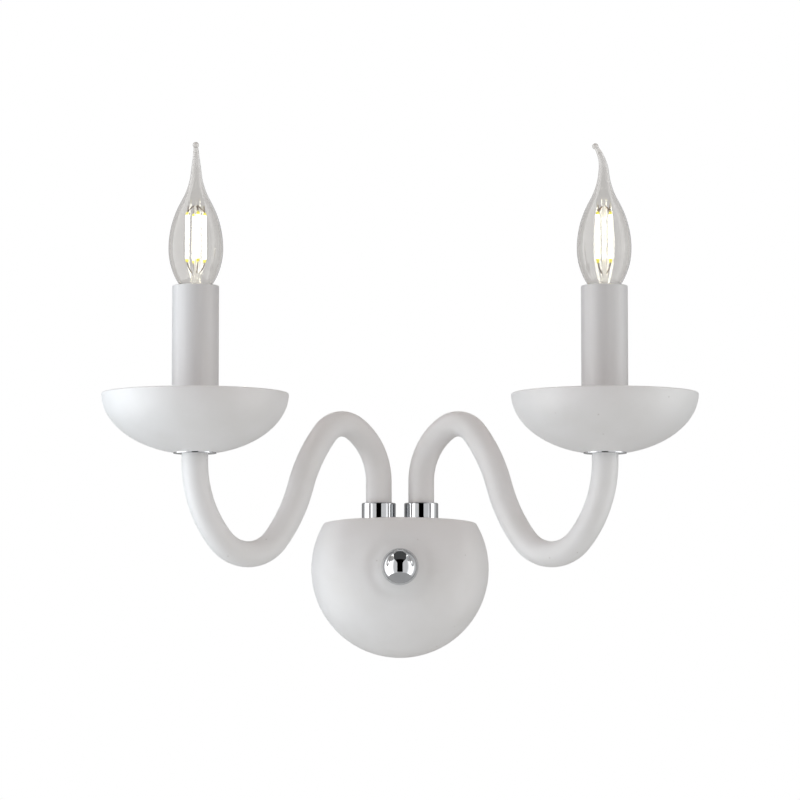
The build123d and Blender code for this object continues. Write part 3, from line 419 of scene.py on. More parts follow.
def lit_phosphor():
    # Yellow phosphor in silicone over a row of light-emitting chips: white with light along the middle,
    # bare yellow coating at the two ends.
    tree, shader, place, _ = finish(
        "filament", "lit_phosphor_silicone", ("#E6D85E", "#F0E684"), (0.40, 0.50),
        (2, 2, 3), 0.02, (0.8, 0.8, 0.8),
        Emission_Strength=14.0,
    )
    height = add_node(tree, "ShaderNodeSeparateXYZ", {}, {"Vector": place.outputs["Object"]})
    span = {"From Min": FILAMENT_FOOT * MM, "From Max": FILAMENT_TOP * MM}
    along = add_node(tree, "ShaderNodeMapRange", span, {"Value": height.outputs["Z"]})
    glow = add_node(tree, "ShaderNodeValToRGB", {}, {"Fac": along.outputs["Result"]})
    bare_end, bare, lit = "#413F0E", "#4A4818", "#FFFDF2"
    stops = ((0.0, bare_end), (0.06, bare), (0.11, lit), (0.89, lit), (0.94, bare), (1.0, bare_end))
    while len(glow.color_ramp.elements) < len(stops):
        glow.color_ramp.elements.new(0.5)
    for stop, (position, colour) in zip(glow.color_ramp.elements, stops):
        stop.position = position
        stop.color = linear(colour)
    tree.links.new(glow.outputs["Color"], shader.inputs["Emission Color"])


def grid_mesh(name, points, ring, loop):
    """A mesh from grids of points in mm, shaped (shells, rows, columns, xyz): each cell is a quad, ring joins
    the last column to the first and loop the last row to the first. Points that meet at a pole are merged."""
    points = points.reshape((-1,) + points.shape[-3:])
    shells, rows, columns = points.shape[:3]
    index = np.arange(shells * rows * columns).reshape(shells, rows, columns)
    if loop:
        index = np.concatenate([index, index[:, :1]], axis=1)
    if ring:
        index = np.concatenate([index, index[:, :, :1]], axis=2)
    corners = [index[:, :-1, :-1], index[:, :-1, 1:], index[:, 1:, 1:], index[:, 1:, :-1]]
    quads = np.stack(corners, axis=-1).reshape(-1, 4)
    mesh = bpy.data.meshes.new(name)
    mesh.from_pydata(points.reshape(-1, 3) * MM, [], quads)
    work = bmesh.new()
    work.from_mesh(mesh)
    bmesh.ops.remove_doubles(work, verts=work.verts, dist=MERGE_DISTANCE)
    bmesh.ops.recalc_face_normals(work, faces=work.faces)
    work.to_mesh(mesh)
    work.free()
    mesh.shade_smooth()
    mesh.set_sharp_from_angle(angle=radians(SHARP_ANGLE))
    return mesh


def piece(node, points, ring=True, loop=False):
    """A finished piece that stands for one CAD node, on its body and in its finish."""
    mesh = grid_mesh(node + "_form", points, ring, loop)
    made = bpy.data.objects.new(node + "_form", mesh)
    bpy.context.scene.collection.objects.link(made)
    mesh.materials.append(FINISHES[SLOT_OF[node]])
    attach(made, frame["nodes"][node]["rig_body"])
    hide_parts(node)
    return made


def arc(centre, radii, start, end, steps):
    """Points of an ellipse: the centre plus (across cos t, up sin t), t from start to end in degrees."""
    turn = np.radians(np.linspace(start, end, steps))
    return np.stack([centre[0] + radii[0] * np.cos(turn), centre[1] + radii[1] * np.sin(turn)], axis=1)


def bent(start, heading, radius, turn, steps):
    """Points of an arc that leaves start along a heading and swings by turn, to the left if positive, both
    in degrees: the start plus the radius, with the turn's sign, times the change of (sin, -cos) of the
    heading."""
    way = np.radians(heading + turn * np.linspace(0, 1, steps))
    side = np.sign(turn) * radius
    across = start[0] + side * (np.sin(way) - np.sin(way[0]))
    return np.stack([across, start[1] - side * (np.cos(way) - np.cos(way[0]))], axis=1)


def straight(start, end):
    """Points of a straight run, close together at its two ends so that the shading stays flat between
    them."""
    share = np.array([0, 0.01, 0.05, 0.2, 0.5, 0.8, 0.95, 0.99, 1])[:, None]
    return np.array(start) * (1 - share) + np.array(end) * share


def chain(*runs):
    """Runs of points joined into one line, without the points that repeat where two runs meet."""
    line = np.concatenate([np.asarray(run, float).reshape(-1, 2) for run in runs])
    return line[np.concatenate([[True], np.hypot(*np.diff(line, axis=0).T) > SAME_POINT])]


def turned(profile, x, out, sides=144):
    """A profile of radius and height carried round an upright axis: (x + r cos t, -out + r sin t, z)."""
    turn = np.linspace(0, 2 * pi, sides, endpoint=False)
    radius, height = profile[:, :1], profile[:, 1:]
    return np.stack([x + radius * np.cos(turn), -out + radius * np.sin(turn), height + 0 * turn], axis=-1)


def tube(path, radius, sides=12):
    """A round section carried along paths shaped (shells, steps, xyz): the path point plus the radius times
    (cos t, sin t) along two directions square to the path, closed to a point at both ends."""
    way = np.gradient(path, axis=-2)
    way /= np.linalg.norm(way, axis=-1, keepdims=True)
    aside = np.cross(way, np.array([0.6, 0.8, 0.02]))
    aside /= np.linalg.norm(aside, axis=-1, keepdims=True)
    over = np.cross(way, aside)
    turn = np.linspace(0, 2 * pi, sides, endpoint=False)[:, None]
    size = np.full(path.shape[-2], radius)
    size[[0, -1]] = 0
    size = size[:, None, None]
    rim = np.cos(turn) * aside[..., None, :] + np.sin(turn) * over[..., None, :]
    return path[..., None, :] + size * rim


def arm_cup(side, name):
    """A cup turned from its outline: base, wall, rounded lip and bore."""
    outline = chain(
        [(NIPPLE_HOLE, CUP_FOOT)],
        straight((CUP_RADIUS, CUP_FOOT), (CUP_RADIUS, CUP_TOP - CUP_EDGE)),
        arc((CUP_RADIUS - CUP_EDGE, CUP_TOP - CUP_EDGE), (CUP_EDGE, CUP_EDGE), 0, 90, 9),
        straight((CUP_BORE, CUP_TOP), (CUP_BORE, CUP_FOOT + CUP_BASE)),
        [(NIPPLE_HOLE, CUP_FOOT + CUP_BASE)],
    )
    piece(f"{name}_arm_cup", turned(outline, side * CUP_X, CUP_OUT), loop=True)


def bowl_seat(side, name):
    """A thin disc turned from its outline, with its lower edge rounded."""
    outline = chain(
        [(SEAT_HOLE, SEAT_FOOT)],
        arc((SEAT_RADIUS - SEAT_EDGE, SEAT_FOOT + SEAT_EDGE), (SEAT_EDGE, SEAT_EDGE), -90, 0, 7),
        [(SEAT_RADIUS, SEAT_TOP), (SEAT_HOLE, SEAT_TOP)],
    )
    piece(f"{name}_bowl_seat", turned(outline, side * CANDLE_X, CANDLE_OUT), loop=True)


def drip_bowl(side, name):
    """A bowl turned from two part ellipses joined by a rounded rim, a flat base and a hole."""
    base = degrees(asin((BOWL_RIM - BOWL_BASE) / BOWL_CURVE))
    floor = degrees(asin((BOWL_RIM - SLEEVE_FOOT) / BOWL_INNER_CURVE))
    inner = BOWL_RADIUS - BOWL_WALL
    outer_edge = degrees(asin(RIM_EDGE / BOWL_CURVE))
    inner_edge = degrees(asin(RIM_EDGE / BOWL_INNER_CURVE))
    outline = chain(
        [(BOWL_HOLE, BOWL_BASE)],
        arc((0, BOWL_RIM), (BOWL_RADIUS, BOWL_CURVE), -base, -outer_edge, 64),
        arc((BOWL_RADIUS - RIM_EDGE, BOWL_RIM - RIM_EDGE), (RIM_EDGE, RIM_EDGE), RIM_LEAN, 90, 9),
        arc((inner + RIM_EDGE, BOWL_RIM - RIM_EDGE), (RIM_EDGE, RIM_EDGE), 90, 180 - RIM_LEAN, 9),
        arc((0, BOWL_RIM), (inner, BOWL_INNER_CURVE), -inner_edge, -floor, 64),
        [(BOWL_HOLE, SLEEVE_FOOT)],
    )
    piece(f"{name}_drip_bowl", turned(outline, side * CANDLE_X, CANDLE_OUT, 192), loop=True)


def candle_sleeve(side, name):
    """A tube turned from its outline, with its upper edge rounded."""
    inner = SLEEVE_RADIUS - SLEEVE_WALL
    edge = (SLEEVE_EDGE, SLEEVE_EDGE)
    outline = chain(
        straight((SLEEVE_RADIUS, SLEEVE_FOOT), (SLEEVE_RADIUS, SLEEVE_TOP - SLEEVE_EDGE)),
        arc((SLEEVE_RADIUS - SLEEVE_EDGE, SLEEVE_TOP - SLEEVE_EDGE), edge, 0, 90, 9),
        arc((inner + SLEEVE_EDGE, SLEEVE_TOP - SLEEVE_EDGE), edge, 90, 180, 9),
        straight((inner, SLEEVE_TOP - SLEEVE_EDGE), (inner, SLEEVE_FOOT)),
    )
    piece(f"{name}_candle_sleeve", turned(outline, side * CANDLE_X, CANDLE_OUT), loop=True)


def glass_arm(side, name):
    """A tube carried along the arm's line of tangent runs and arcs in its upright plane, out along the
    outside and back along the bore. Where the line bends, the hot tube has gone a little flat across the
    bend."""
    crest = arc((CREST_U, CREST_Z), (CREST_RADIUS, CREST_RADIUS), 180 - RISER_TURN, FLANK_NORMAL, 48)
    flank = bent(crest[-1], FLANK_NORMAL - 90, FLANK_CURVE, -FLANK_TURN, 40)
    line = chain(
        np.linspace((0, ARM_FOOT), (0, RISER_TOP), 24),
        arc((RISER_CURVE, RISER_TOP), (RISER_CURVE, RISER_CURVE), 180, 180 - RISER_TURN, 30),
        crest,
        flank,
        bent(flank[-1], FLANK_NORMAL - FLANK_TURN - 90, FLANK_CURVE, FLANK_TURN, 40),
        arc((REACH - BEND_BACK, BEND_Z), (BEND_RADIUS, BEND_RADIUS), 180 + FLANK_NORMAL, 360 - TIP_TURN, 64),
        arc((REACH - TIP_CURVE, TIP_FOOT), (TIP_CURVE, TIP_CURVE), -TIP_TURN, 0, 40),
        [(REACH, SEAT_FOOT)],
    )
    step = np.diff(line, axis=0)
    along = np.concatenate([[0], np.cumsum(np.hypot(*step.T))])
    even = np.linspace(0, along[-1], ARM_ROWS)
    line = np.stack([np.interp(even, along, line[:, 0]), np.interp(even, along, line[:, 1])], axis=1)
    way = np.gradient(line, axis=0)
    way /= np.linalg.norm(way, axis=1, keepdims=True)
    heading = np.unwrap(np.arctan2(way[:, 1], way[:, 0]))
    curve = np.abs(np.gradient(heading, even)) * CREST_RADIUS
    window = 2 * CURVE_SPREAD + 1
    curve = np.convolve(np.pad(curve, CURVE_SPREAD, mode="edge"), np.ones(window) / window, mode="valid")
    flat, wide = 1 - BEND_FLATTEN * curve, 1 + BEND_FLATTEN * curve / 2
    turn = np.linspace(0, 2 * pi, ARM_SIDES, endpoint=False)
    across = np.array([side * cos(SPLAY), -sin(SPLAY), 0])
    up = np.array([0, 0, 1.0])
    square = np.cross(across, up)
    normal = -way[:, 1:] * across + way[:, :1] * up
    centre = np.array([side * CUP_X, -CUP_OUT, 0]) + line[:, :1] * across + line[:, 1:] * up
    rim = (flat[:, None] * np.cos(turn))[..., None] * normal[:, None]
    rim = rim + (wide[:, None] * np.sin(turn))[..., None] * square
    outside = centre[:, None] + TUBE_RADIUS * rim
    bore = centre[:, None] + TUBE_BORE * rim
    piece(f"{name}_glass_arm", np.concatenate([outside, bore[::-1]]), loop=True)


def flame_outline(inset):
    """The bulb's outline from its neck up to its throat, moved inwards by the inset: arcs that share
    centres."""
    belly = (FLAME_RADIUS - inset, BELLY_Z)
    lower = bent(belly, -90, LOWER_CURVE - inset, -LOWER_TURN, 24)
    neck = bent(lower[-1], -90 - LOWER_TURN, NECK_CURVE + inset, LOWER_TURN, 16)
    upper = bent(belly, 90, UPPER_CURVE - inset, UPPER_TURN, 30)
    rise = radians(90 + UPPER_TURN)
    cone = upper[-1] + CONE_LENGTH * np.array([cos(rise), sin(rise)])
    throat = bent(cone, 90 + UPPER_TURN, THROAT_CURVE + inset, -THROAT_TURN, 24)
    return chain(neck[::-1], lower[::-1], upper, throat)


def bulb_glass(side, name):
    """The flame outline turned round the candle's axis, inside and outside, and drawn out above the throat
    into a tail: a height above the throat becomes a length along an arc, and the section turns with it."""
    outside, inside = flame_outline(0), flame_outline(GLASS_WALL)
    throat_radius, throat_z = outside[-1]
    tail = TAIL_CURVE * radians(TAIL_TURN)
    share = np.linspace(0, 1, 24)[1:]
    tail_radius = TAIL_END_RADIUS + (throat_radius - TAIL_END_RADIUS) * (1 - share)
    drawn = np.stack([tail_radius, throat_z + share * (tail - BEAD_RADIUS / 2)], axis=1)
    bead_start = degrees(acos(TAIL_END_RADIUS / BEAD_RADIUS))
    bead = arc((0, throat_z + tail), (BEAD_RADIUS, BEAD_RADIUS), -bead_start, 90, 16)
    hollow = arc((0, throat_z), (inside[-1, 0], TAIL_HOLLOW), 90, 0, 14)
    profile = chain(hollow, inside[::-1], outside, drawn, bead)
    radius, height = profile[:, :1], profile[:, 1:]
    above = np.maximum(height - throat_z, 0)
    lean = np.minimum(above, tail) / TAIL_CURVE
    beyond = np.maximum(above - tail, 0)
    aside = TAIL_CURVE * (1 - np.cos(lean)) + beyond * np.sin(lean)
    rise = np.minimum(height, throat_z) + TAIL_CURVE * np.sin(lean) + beyond * np.cos(lean)
    turn = np.linspace(0, 2 * pi, 96, endpoint=False)
    ahead, beside = aside + radius * np.cos(turn) * np.cos(lean), radius * np.sin(turn)
    level = rise - radius * np.cos(turn) * np.sin(lean)
    way = radians(TAIL_HEADING[name])
    x = side * CANDLE_X + ahead * cos(way) - beside * sin(way)
    y = -CANDLE_OUT + ahead * sin(way) + beside * cos(way)
    made = piece(f"{name}_bulb_glass", np.stack([x, y, level], axis=-1))
    # Thin clear glass throws hardly any shadow: the lamps light the stem, and the filaments the sleeve's lip.
    made.visible_shadow = False


def bulb_cap(side, name):
    """A thin rolled cap: its radius falls from the crest by half the thread depth times one plus the cosine
    of height over pitch less the turn, a right-hand thread that fades out at both ends, below a plain
    skirt."""
    turn = np.linspace(0, 2 * pi, 96, endpoint=False)
    rolled = np.linspace(CAP_FOOT, SKIRT_Z - SKIRT_SLOPE, THREAD_ROWS)
    height = np.concatenate([rolled, np.linspace(SKIRT_Z, CAP_TOP, SKIRT_ROWS)])[:, None]
    fade = np.clip((height - CAP_FOOT) / THREAD_PITCH, 0, 1)
    fade = fade * np.clip((SKIRT_Z - THREAD_GAP - height) / THREAD_PITCH, 0, 1)
    wave = (1 + np.cos(2 * pi * height / THREAD_PITCH - turn)) / 2
    flare = np.clip((height - SKIRT_Z) / SKIRT_SLOPE + 0.5, 0, 1)
    flare = flare * flare * (3 - 2 * flare)
    radius = CAP_RADIUS - THREAD_DEPTH * fade * wave + (SKIRT_RADIUS - CAP_RADIUS) * flare
    radius = np.concatenate([radius, radius[::-1] - CAP_SHEET])
    height = np.concatenate([height, height[::-1]])
    x, y = side * CANDLE_X + radius * np.cos(turn), -CANDLE_OUT + radius * np.sin(turn)
    piece(f"{name}_bulb_cap", np.stack([x, y, height + 0 * turn], axis=-1), loop=True)


def bulb_stem(side, name):
    """A glass stem turned from its outline: a flare that narrows as a power of height, a neck that is pinched
    flat across one direction, and a thin rod up to the filaments' tops."""
    share = np.linspace(0, 1, 30)
    pinch_z = STEM_FOOT + STEM_PINCH_RISE
    flare_radius = STEM_PINCH + (STEM_FLARE - STEM_PINCH) * (1 - share) ** STEM_TAPER
    flare_z = STEM_FOOT + STEM_LIP + share * (STEM_PINCH_RISE - STEM_LIP)
    rod_z = pinch_z + STEM_PINCH_HEIGHT + STEM_PINCH
    outline = chain(
        [(0, STEM_FOOT), (STEM_FLARE, STEM_FOOT)],
        np.stack([flare_radius, flare_z], axis=1),
        np.linspace((STEM_PINCH, pinch_z), (STEM_PINCH, pinch_z + STEM_PINCH_HEIGHT), 10),
        np.linspace((STEM_PINCH, pinch_z + STEM_PINCH_HEIGHT), (STEM_RADIUS, rod_z), 8),
        np.linspace((STEM_RADIUS, rod_z), (STEM_RADIUS, STEM_TOP - STEM_RADIUS), 12),
        arc((0, STEM_TOP - STEM_RADIUS), (STEM_RADIUS, STEM_RADIUS), 0, 90, 8),
    )
    points = turned(outline, 0, 0, 48)
    middle = pinch_z + STEM_PINCH_HEIGHT / 2
    pinch = np.exp(-(((points[..., 2] - middle) / STEM_PINCH_HEIGHT) ** 2))
    wide = points[..., 0] * (1 + PINCH_WIDEN * pinch)
    thin = points[..., 1] * (1 - PINCH_THIN * pinch)
    way = radians(FILAMENT_TURN[name])
    x = side * CANDLE_X + wide * cos(way) - thin * sin(way)
    y = -CANDLE_OUT + wide * sin(way) + thin * cos(way)
    piece(f"{name}_bulb_stem", np.stack([x, y, points[..., 2]], axis=-1))


def bulb_light(side, name):
    """Four upright rods with round ends in a ring, and fine wires, each a curve (1-t)^2 a + 2 t (1-t) b +
    t^2 c that leaves a rod's end and bends in to the stem or, above the rods, stands nearly upright."""
    turn = 2 * pi * np.arange(FILAMENT_COUNT) / FILAMENT_COUNT + radians(FILAMENT_TURN[name])
    ring = np.stack([np.cos(turn), np.sin(turn)], axis=1)
    axis = np.array([side * CANDLE_X, -CANDLE_OUT])
    edge = (FILAMENT_RADIUS, FILAMENT_RADIUS)
    low, high = FILAMENT_FOOT + FILAMENT_RADIUS, FILAMENT_TOP - FILAMENT_RADIUS
    rod = chain(
        arc((0, low), edge, -90, 0, 7),
        np.linspace((FILAMENT_RADIUS, low), (FILAMENT_RADIUS, high), 40),
        arc((0, high), edge, 0, 90, 7),
    )
    rods = np.repeat(turned(rod, 0, 0, 20)[None], FILAMENT_COUNT, axis=0)
    rods[..., :2] += (axis + FILAMENT_RING * ring)[:, None, None]
    piece(f"{name}_bulb_filaments", rods)
    share = np.linspace(0, 1, 16)[:, None]
    wires = []
    for end_z, stem_z, stem_ring, upright in (
        (FILAMENT_FOOT, FILAMENT_FOOT - LAMP_WIRE_DROP, STEM_PINCH, 0.5),
        (FILAMENT_TOP, STEM_TOP - LAMP_WIRE_RADIUS, STEM_RADIUS, 0.2),
        (FILAMENT_TOP, STEM_TOP - LAMP_WIRE_RADIUS, WIRE_STAND * FILAMENT_RING, 0.5),
    ):
        start = np.column_stack([axis + FILAMENT_RING * ring, np.full(FILAMENT_COUNT, end_z)])[:, None]
        knee_z = end_z + upright * (stem_z - end_z)
        knee_ring = WIRE_KNEE * FILAMENT_RING
        knee = np.column_stack([axis + knee_ring * ring, np.full(FILAMENT_COUNT, knee_z)])[:, None]
        end = np.column_stack([axis + stem_ring * ring, np.full(FILAMENT_COUNT, stem_z)])[:, None]
        wires.append((1 - share) ** 2 * start + 2 * share * (1 - share) * knee + share**2 * end)
    piece(f"{name}_bulb_wires", tube(np.concatenate(wires), LAMP_WIRE_RADIUS))


def cut_back(outline, turn, steps):
    """The cover's outline in each direction round its axis, from where the slanted cut or the rim ends it.
    The first point is on that edge, the second one edge radius inside it, and the rest go on in even
    steps."""
    along = np.concatenate([[0], np.cumsum(np.hypot(*np.diff(outline, axis=0).T))])
    limit = COVER_CUT + sin(radians(COVER_CUT_TILT)) * (COVER_GAP + outline[:, 1])
    over = outline[:, 0] * np.sin(turn)[:, None] - limit
    last = np.argmax(over <= 0, axis=1)
    first = np.maximum(last - 1, 0)
    each = np.arange(len(turn))
    drop = over[each, first] - over[each, last]
    share = np.where(last > 0, over[each, first] / np.where(drop > 0, drop, 1), 0)
    start = (along[first] + share * (along[last] - along[first]))[:, None]
    inside = start + COVER_EDGE + (along[-1] - start - COVER_EDGE) * np.linspace(0, 1, steps)
    at = np.concatenate([start, inside], axis=1)
    return np.stack([np.interp(at, along, outline[:, 0]), np.interp(at, along, outline[:, 1])], axis=-1)


def glass_cover():
    """A bowl with its mouth at the wall: its outline carried round the finial's axis, (r cos t, -w, r sin t),
    and in each direction ended by the rim or by a slanted cut across the top, over a rounded edge."""
    start_turn = acos(COLLAR_START / COVER_RADIUS)
    slope = degrees(atan2(COVER_CURVE * cos(start_turn), COVER_RADIUS * sin(start_turn)))
    spread = [sin(radians(angle)) for angle in (slope, HOLLOW_SLOPE, FLANK_SLOPE)]
    soft_radius = (COLLAR_START - COLLAR_HOLLOW) / (spread[0] - spread[1])
    dip_radius = (COLLAR_HOLLOW - COLLAR_FLANK) / (spread[2] - spread[1])
    crown_radius = (COLLAR_FLANK - COLLAR_TOP) / spread[2]
    dome = arc((0, 0), (COVER_RADIUS, COVER_CURVE), 0, degrees(start_turn), 200)
    soft = bent(dome[-1], 180 - slope, soft_radius, slope - HOLLOW_SLOPE, 30)
    dip = bent(soft[-1], 180 - HOLLOW_SLOPE, dip_radius, HOLLOW_SLOPE - FLANK_SLOPE, 20)
    crown = bent(dip[-1], 180 - FLANK_SLOPE, crown_radius, FLANK_SLOPE, 30)
    front = crown[-1, 1]
    outside = chain(dome, soft, dip, crown, [(COVER_HOLE, front)])
    back_turn = degrees(asin((front - COVER_WALL) / COVER_INNER_CURVE))
    hollow = arc((0, 0), (COVER_RADIUS - COVER_WALL, COVER_INNER_CURVE), 0, back_turn, 200)
    inside = chain(hollow, [(COVER_HOLE, front - COVER_WALL)])
    corner = asin(COVER_CUT / COVER_RADIUS)
    along_cut = np.linspace(corner, pi - corner, CUT_SIDES, endpoint=False)
    along_rim = np.linspace(pi - corner, 2 * pi + corner, RIM_SIDES, endpoint=False)
    turn = np.concatenate([along_cut, along_rim])
    outer, inner = cut_back(outside, turn, 80), cut_back(inside, turn, 70)
    share = ((1 - np.cos(np.linspace(0, pi, 11)[1:-1])) / 2)[:, None]
    bulge = (1 - np.abs(2 * share - 1) ** EDGE_POWER) ** (1 / EDGE_POWER)
    base = outer[:, 1:2] * (1 - share) + inner[:, 1:2] * share
    reach = (outer[:, :1] - outer[:, 1:2]) * (1 - share) + (inner[:, :1] - inner[:, 1:2]) * share
    rows = np.concatenate([outer[:, :0:-1], base + bulge * reach, inner[:, 1:]], axis=1).swapaxes(0, 1)
    radius, out = rows[..., 0], rows[..., 1]
    points = np.stack([radius * np.cos(turn), -COVER_GAP - out, radius * np.sin(turn)], axis=-1)
    piece("glass_cover", points, loop=True)


def finial_ball():
    """A ball turned round the finial's axis, flat where it sits on its washer, with a blind hole for the
    stud."""
    seat = degrees(acos(BALL_SEAT / BALL_RADIUS))
    outline = chain(
        [(0, BALL_FOOT + STUD_HOLE_DEPTH), (STUD_HOLE, BALL_FOOT + STUD_HOLE_DEPTH), (STUD_HOLE, BALL_FOOT)],
        arc((0, BALL_CENTRE), (BALL_RADIUS, BALL_RADIUS), -seat, 90, 90),
    )
    turn = np.linspace(0, 2 * pi, 144, endpoint=False)
    radius, out = outline[:, :1], outline[:, 1:]
    piece("finial_ball", np.stack([radius * np.cos(turn), -out + 0 * turn, radius * np.sin(turn)], axis=-1))


satin_opal_glass()
clear_blown_glass()
pressed_stem_glass()
bright_chrome()
moulded_sleeve()
zinc_plated_steel()
turned_brass()
nickel_lamp_cap()
moulded_holder()
terminal_nylon()
setting_plaster()
black_vitrite()
tinned_solder()
drawn_lamp_wire()
grommet_rubber()
soft_washer()
wire_insulation()
lit_phosphor()

for node_name, node_object in frame["nodes"].items():
    for material_slot in node_object.material_slots:
        material_slot.material = FINISHES[SLOT_OF[node_name]]

glass_cover()
finial_ball()
for side_name, side_sign in SIDES.items():
    arm_cup(side_sign, side_name)
    glass_arm(side_sign, side_name)
    bowl_seat(side_sign, side_name)
    drip_bowl(side_sign, side_name)
    candle_sleeve(side_sign, side_name)
    bulb_cap(side_sign, side_name)
    bulb_stem(side_sign, side_name)
    bulb_light(side_sign, side_name)
    bulb_glass(side_sign, side_name)


# Studio, in millimetres too, with angles in degrees round the light from the camera's side
STAGE_ROUGHNESS = 0.9
FLOOR_DROP = 1500.0
FLOOR_HALF = 9000.0
CARD_RISE = 10.0
FLOOR_LEVEL, CARD_LEVEL = 0.45, 0.5
WALL_RADIUS = 2000.0
WALL_TOP = 3500.0
WALL_LEVEL, RETURN_LEVEL, BACK_LEVEL = 0.9, 0.7, 0.35
LEFT_RETURN, LEFT_BACK = -112, -124
RIGHT_RETURN, RIGHT_BACK = 106, 122
SHEET_RADIUS, MIDDLE_RADIUS, BRIGHT_RADIUS = 0.95 * WALL_RADIUS, 0.93 * WALL_RADIUS, 0.91 * WALL_RADIUS
SLOT_HALF = 16.5
WAY_RADIUS = 0.9 * WALL_RADIUS
WAY_LOW, WAY_KNEE, WAY_END = -33, 45, 112
WAY_WIDEN, WAY_WIDEN_START, WAY_CLOSE = 1.3, 0.4, 60
LIGHT_MIDDLE = (0, -60, 60)
AMBIENT_LEVEL = 0.46

# The photograph's camera: focal length and sensor in mm, place in mm, tilt in degrees
LENS, SENSOR_WIDTH = 154.6, 36.0
CAMERA_PLACE = (0, -2280, -69.4)
CAMERA_TILT = 94.56


def seen_rays(tree):
    """One where a ray comes from the camera, a mirror or clear glass, and nothing where it lights a
    surface."""
    path = add_node(tree, "ShaderNodeLightPath", {}, {})
    seen = path.outputs["Is Camera Ray"]
    for ray in ("Is Glossy Ray", "Is Transmission Ray"):
        both = add_node(tree, "ShaderNodeMath", {"operation": "MAXIMUM"}, {0: seen, 1: path.outputs[ray]})
        seen = both.outputs["Value"]
    return seen


def stage_material(name, colour, level):
    """A plain studio surface: a matt colour, with light of its own where it is seen."""
    material = bpy.data.materials.new(name)
    material.use_nodes = True
    tree = material.node_tree
    shader = tree.nodes["Principled BSDF"]
    shader.inputs["Base Color"].default_value = linear(colour)
    shader.inputs["Roughness"].default_value = STAGE_ROUGHNESS
    shader.inputs["Specular IOR Level"].default_value = 0.0
    shader.inputs["Emission Color"].default_value = (1.0, 1.0, 1.0, 1.0)
    glow = add_node(tree, "ShaderNodeMapRange", {"To Min": 0.0, "To Max": level}, {"Value": seen_rays(tree)})
    tree.links.new(glow.outputs["Result"], shader.inputs["Emission Strength"])
    return material


def stage_sheet(name, points, material, mirrored):
    """A studio surface from a grid of points. A mirrored one is seen only in reflections."""
    mesh = grid_mesh(name, points, False, False)
    mesh.materials.append(material)
    made = bpy.data.objects.new(name, mesh)
    bpy.context.scene.collection.objects.link(made)
    if mirrored:
        made.visible_camera = False
        made.visible_diffuse = False
        made.visible_transmission = False
        made.visible_volume_scatter = False
        made.visible_shadow = False


def studio_floor():
    """A level square, and a greyer one just above it that only the chrome and the glass mirror."""
    span = np.linspace(-FLOOR_HALF, FLOOR_HALF, 2)
    x, y = np.meshgrid(span, span)
    points = np.stack([x, y, np.full_like(x, -FLOOR_DROP)], axis=-1)
    stage_sheet("studio_floor", points, stage_material("pale_floor", "#E9E9E8", FLOOR_LEVEL), False)
    points = points + np.array([0, 0, CARD_RISE])
    stage_sheet("floor_card", points, stage_material("floor_card", "#000000", CARD_LEVEL), True)


def studio_walls():
    """Upright walls on a circle round the light, left and right of the camera, with brighter sheets in front
    of them, darker walls behind the light, which draw its edges, and a dark way between them that runs up
    over the light and widens: what the chrome and the glass mirror."""
    rise = np.linspace(-FLOOR_DROP, WALL_TOP, 5)[:, None]
    for name, first, last, radius, level in (
        ("left_wall", -SLOT_HALF, LEFT_RETURN, WALL_RADIUS, WALL_LEVEL),
        ("left_return", LEFT_RETURN, LEFT_BACK, WALL_RADIUS, RETURN_LEVEL),
        ("left_back", LEFT_BACK, -180, WALL_RADIUS, BACK_LEVEL),
        ("right_wall", SLOT_HALF, RIGHT_RETURN, WALL_RADIUS, WALL_LEVEL),
        ("right_return", RIGHT_RETURN, RIGHT_BACK, WALL_RADIUS, RETURN_LEVEL),
        ("right_back", RIGHT_BACK, 180, WALL_RADIUS, BACK_LEVEL),
        ("left_sheet", -40, -109, SHEET_RADIUS, 1.5),
        ("left_middle", -46, -107, MIDDLE_RADIUS, 2.2),
        ("left_bright", -52, -105, BRIGHT_RADIUS, 3.2),
        ("right_sheet", 50, 100, SHEET_RADIUS, 1.5),
        ("right_middle", 57, 92, MIDDLE_RADIUS, 2.1),
        ("right_bright", 72, 90, BRIGHT_RADIUS, 3.0),
    ):
        turn = np.radians(np.linspace(first, last, 40))
        x, y = radius * np.sin(turn) + 0 * rise, -radius * np.cos(turn) + 0 * rise
        points = np.stack([x, y, rise + 0 * turn], axis=-1)
        stage_sheet(name, points, stage_material(name, "#000000", level), True)
    share = np.linspace(-1, 1, 9)
    for name, first, last, level in (
        ("dark_way", WAY_LOW, WAY_KNEE, 0.0),
        ("dark_top", WAY_KNEE, WAY_END, 0.1),
    ):
        lift = np.linspace(first, last, 40)[:, None]
        widen = np.clip(lift / WAY_KNEE - WAY_WIDEN_START, 0, 1)
        widen = 1 + WAY_WIDEN * widen * widen * (3 - 2 * widen)
        close = np.sqrt(1 - np.clip((lift - WAY_CLOSE) / (WAY_END - WAY_CLOSE), 0, 1) ** 2)
        half = WAY_RADIUS * np.tan(radians(SLOT_HALF)) * widen * close
        lift = np.radians(lift) + 0 * share
        points = np.stack([half * share, -WAY_RADIUS * np.cos(lift), WAY_RADIUS * np.sin(lift)], axis=-1)
        stage_sheet(name, points, stage_material(name, "#000000", level), True)


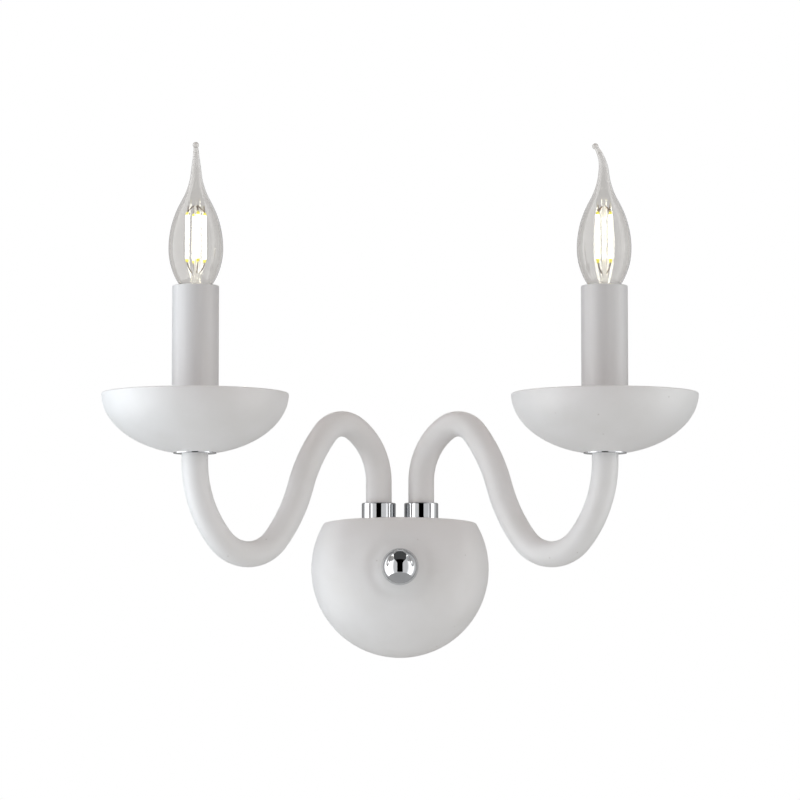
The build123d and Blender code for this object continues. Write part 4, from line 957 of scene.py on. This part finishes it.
def lamp(name, place, aim, size, watts, colour):
    """A soft rectangular lamp at a place, turned to face a point, with its width and height in mm. It only
    gives light: the chrome mirrors the walls."""
    light = bpy.data.lights.new(name, "AREA")
    light.shape = "RECTANGLE"
    light.size, light.size_y = size[0] * MM, size[1] * MM
    light.energy = watts
    light.color = linear(colour)[:3]
    made = bpy.data.objects.new(name, light)
    made.location = Vector(place) * MM
    made.rotation_euler = (Vector(aim) - Vector(place)).to_track_quat("-Z", "Y").to_euler()
    made.visible_camera = False
    made.visible_glossy = False
    made.visible_transmission = False
    bpy.context.scene.collection.objects.link(made)


def white_world(level, colour):
    """White where it is seen, mirrored or looked through, and a lower level of a colour as light on
    surfaces."""
    world = bpy.data.worlds.new("white_studio")
    bpy.context.scene.world = world
    world.use_nodes = True
    tree = world.node_tree
    seen = seen_rays(tree)
    strength = add_node(tree, "ShaderNodeMapRange", {"To Min": level, "To Max": 1.0}, {"Value": seen})
    tint = add_node(tree, "ShaderNodeMix", {"data_type": "RGBA"}, {"Factor": seen})
    tint.inputs[6].default_value = linear(colour)
    tint.inputs[7].default_value = (1.0, 1.0, 1.0, 1.0)
    back = tree.nodes["Background"]
    tree.links.new(tint.outputs[2], back.inputs["Color"])
    tree.links.new(strength.outputs["Result"], back.inputs["Strength"])


studio_floor()
studio_walls()
white_world(AMBIENT_LEVEL, "#FFF4F0")
lamp("left_softbox", (-670, -373, 40), LIGHT_MIDDLE, (600, 1400), 2.3, "#EAF8FF")
lamp("left_window", (-430, -180, 60), (-150, -110, 60), (300, 900), 0.6, "#E4F4FF")
lamp("right_softbox", (670, -373, 40), LIGHT_MIDDLE, (600, 1400), 1.9, "#E8FAFF")
lamp("low_softbox", (-220, -300, -680), LIGHT_MIDDLE, (900, 900), 0.7, "#EDFEFF")

camera = bpy.data.cameras.new("photo_camera")
camera.lens = LENS
camera.sensor_width = SENSOR_WIDTH
camera_object = bpy.data.objects.new("photo_camera", camera)
camera_object.location = Vector(CAMERA_PLACE) * MM
camera_object.rotation_euler = (radians(CAMERA_TILT), 0, 0)
bpy.context.scene.collection.objects.link(camera_object)
bpy.context.scene.camera = camera_object
bpy.context.scene.view_settings.view_transform = "Standard"
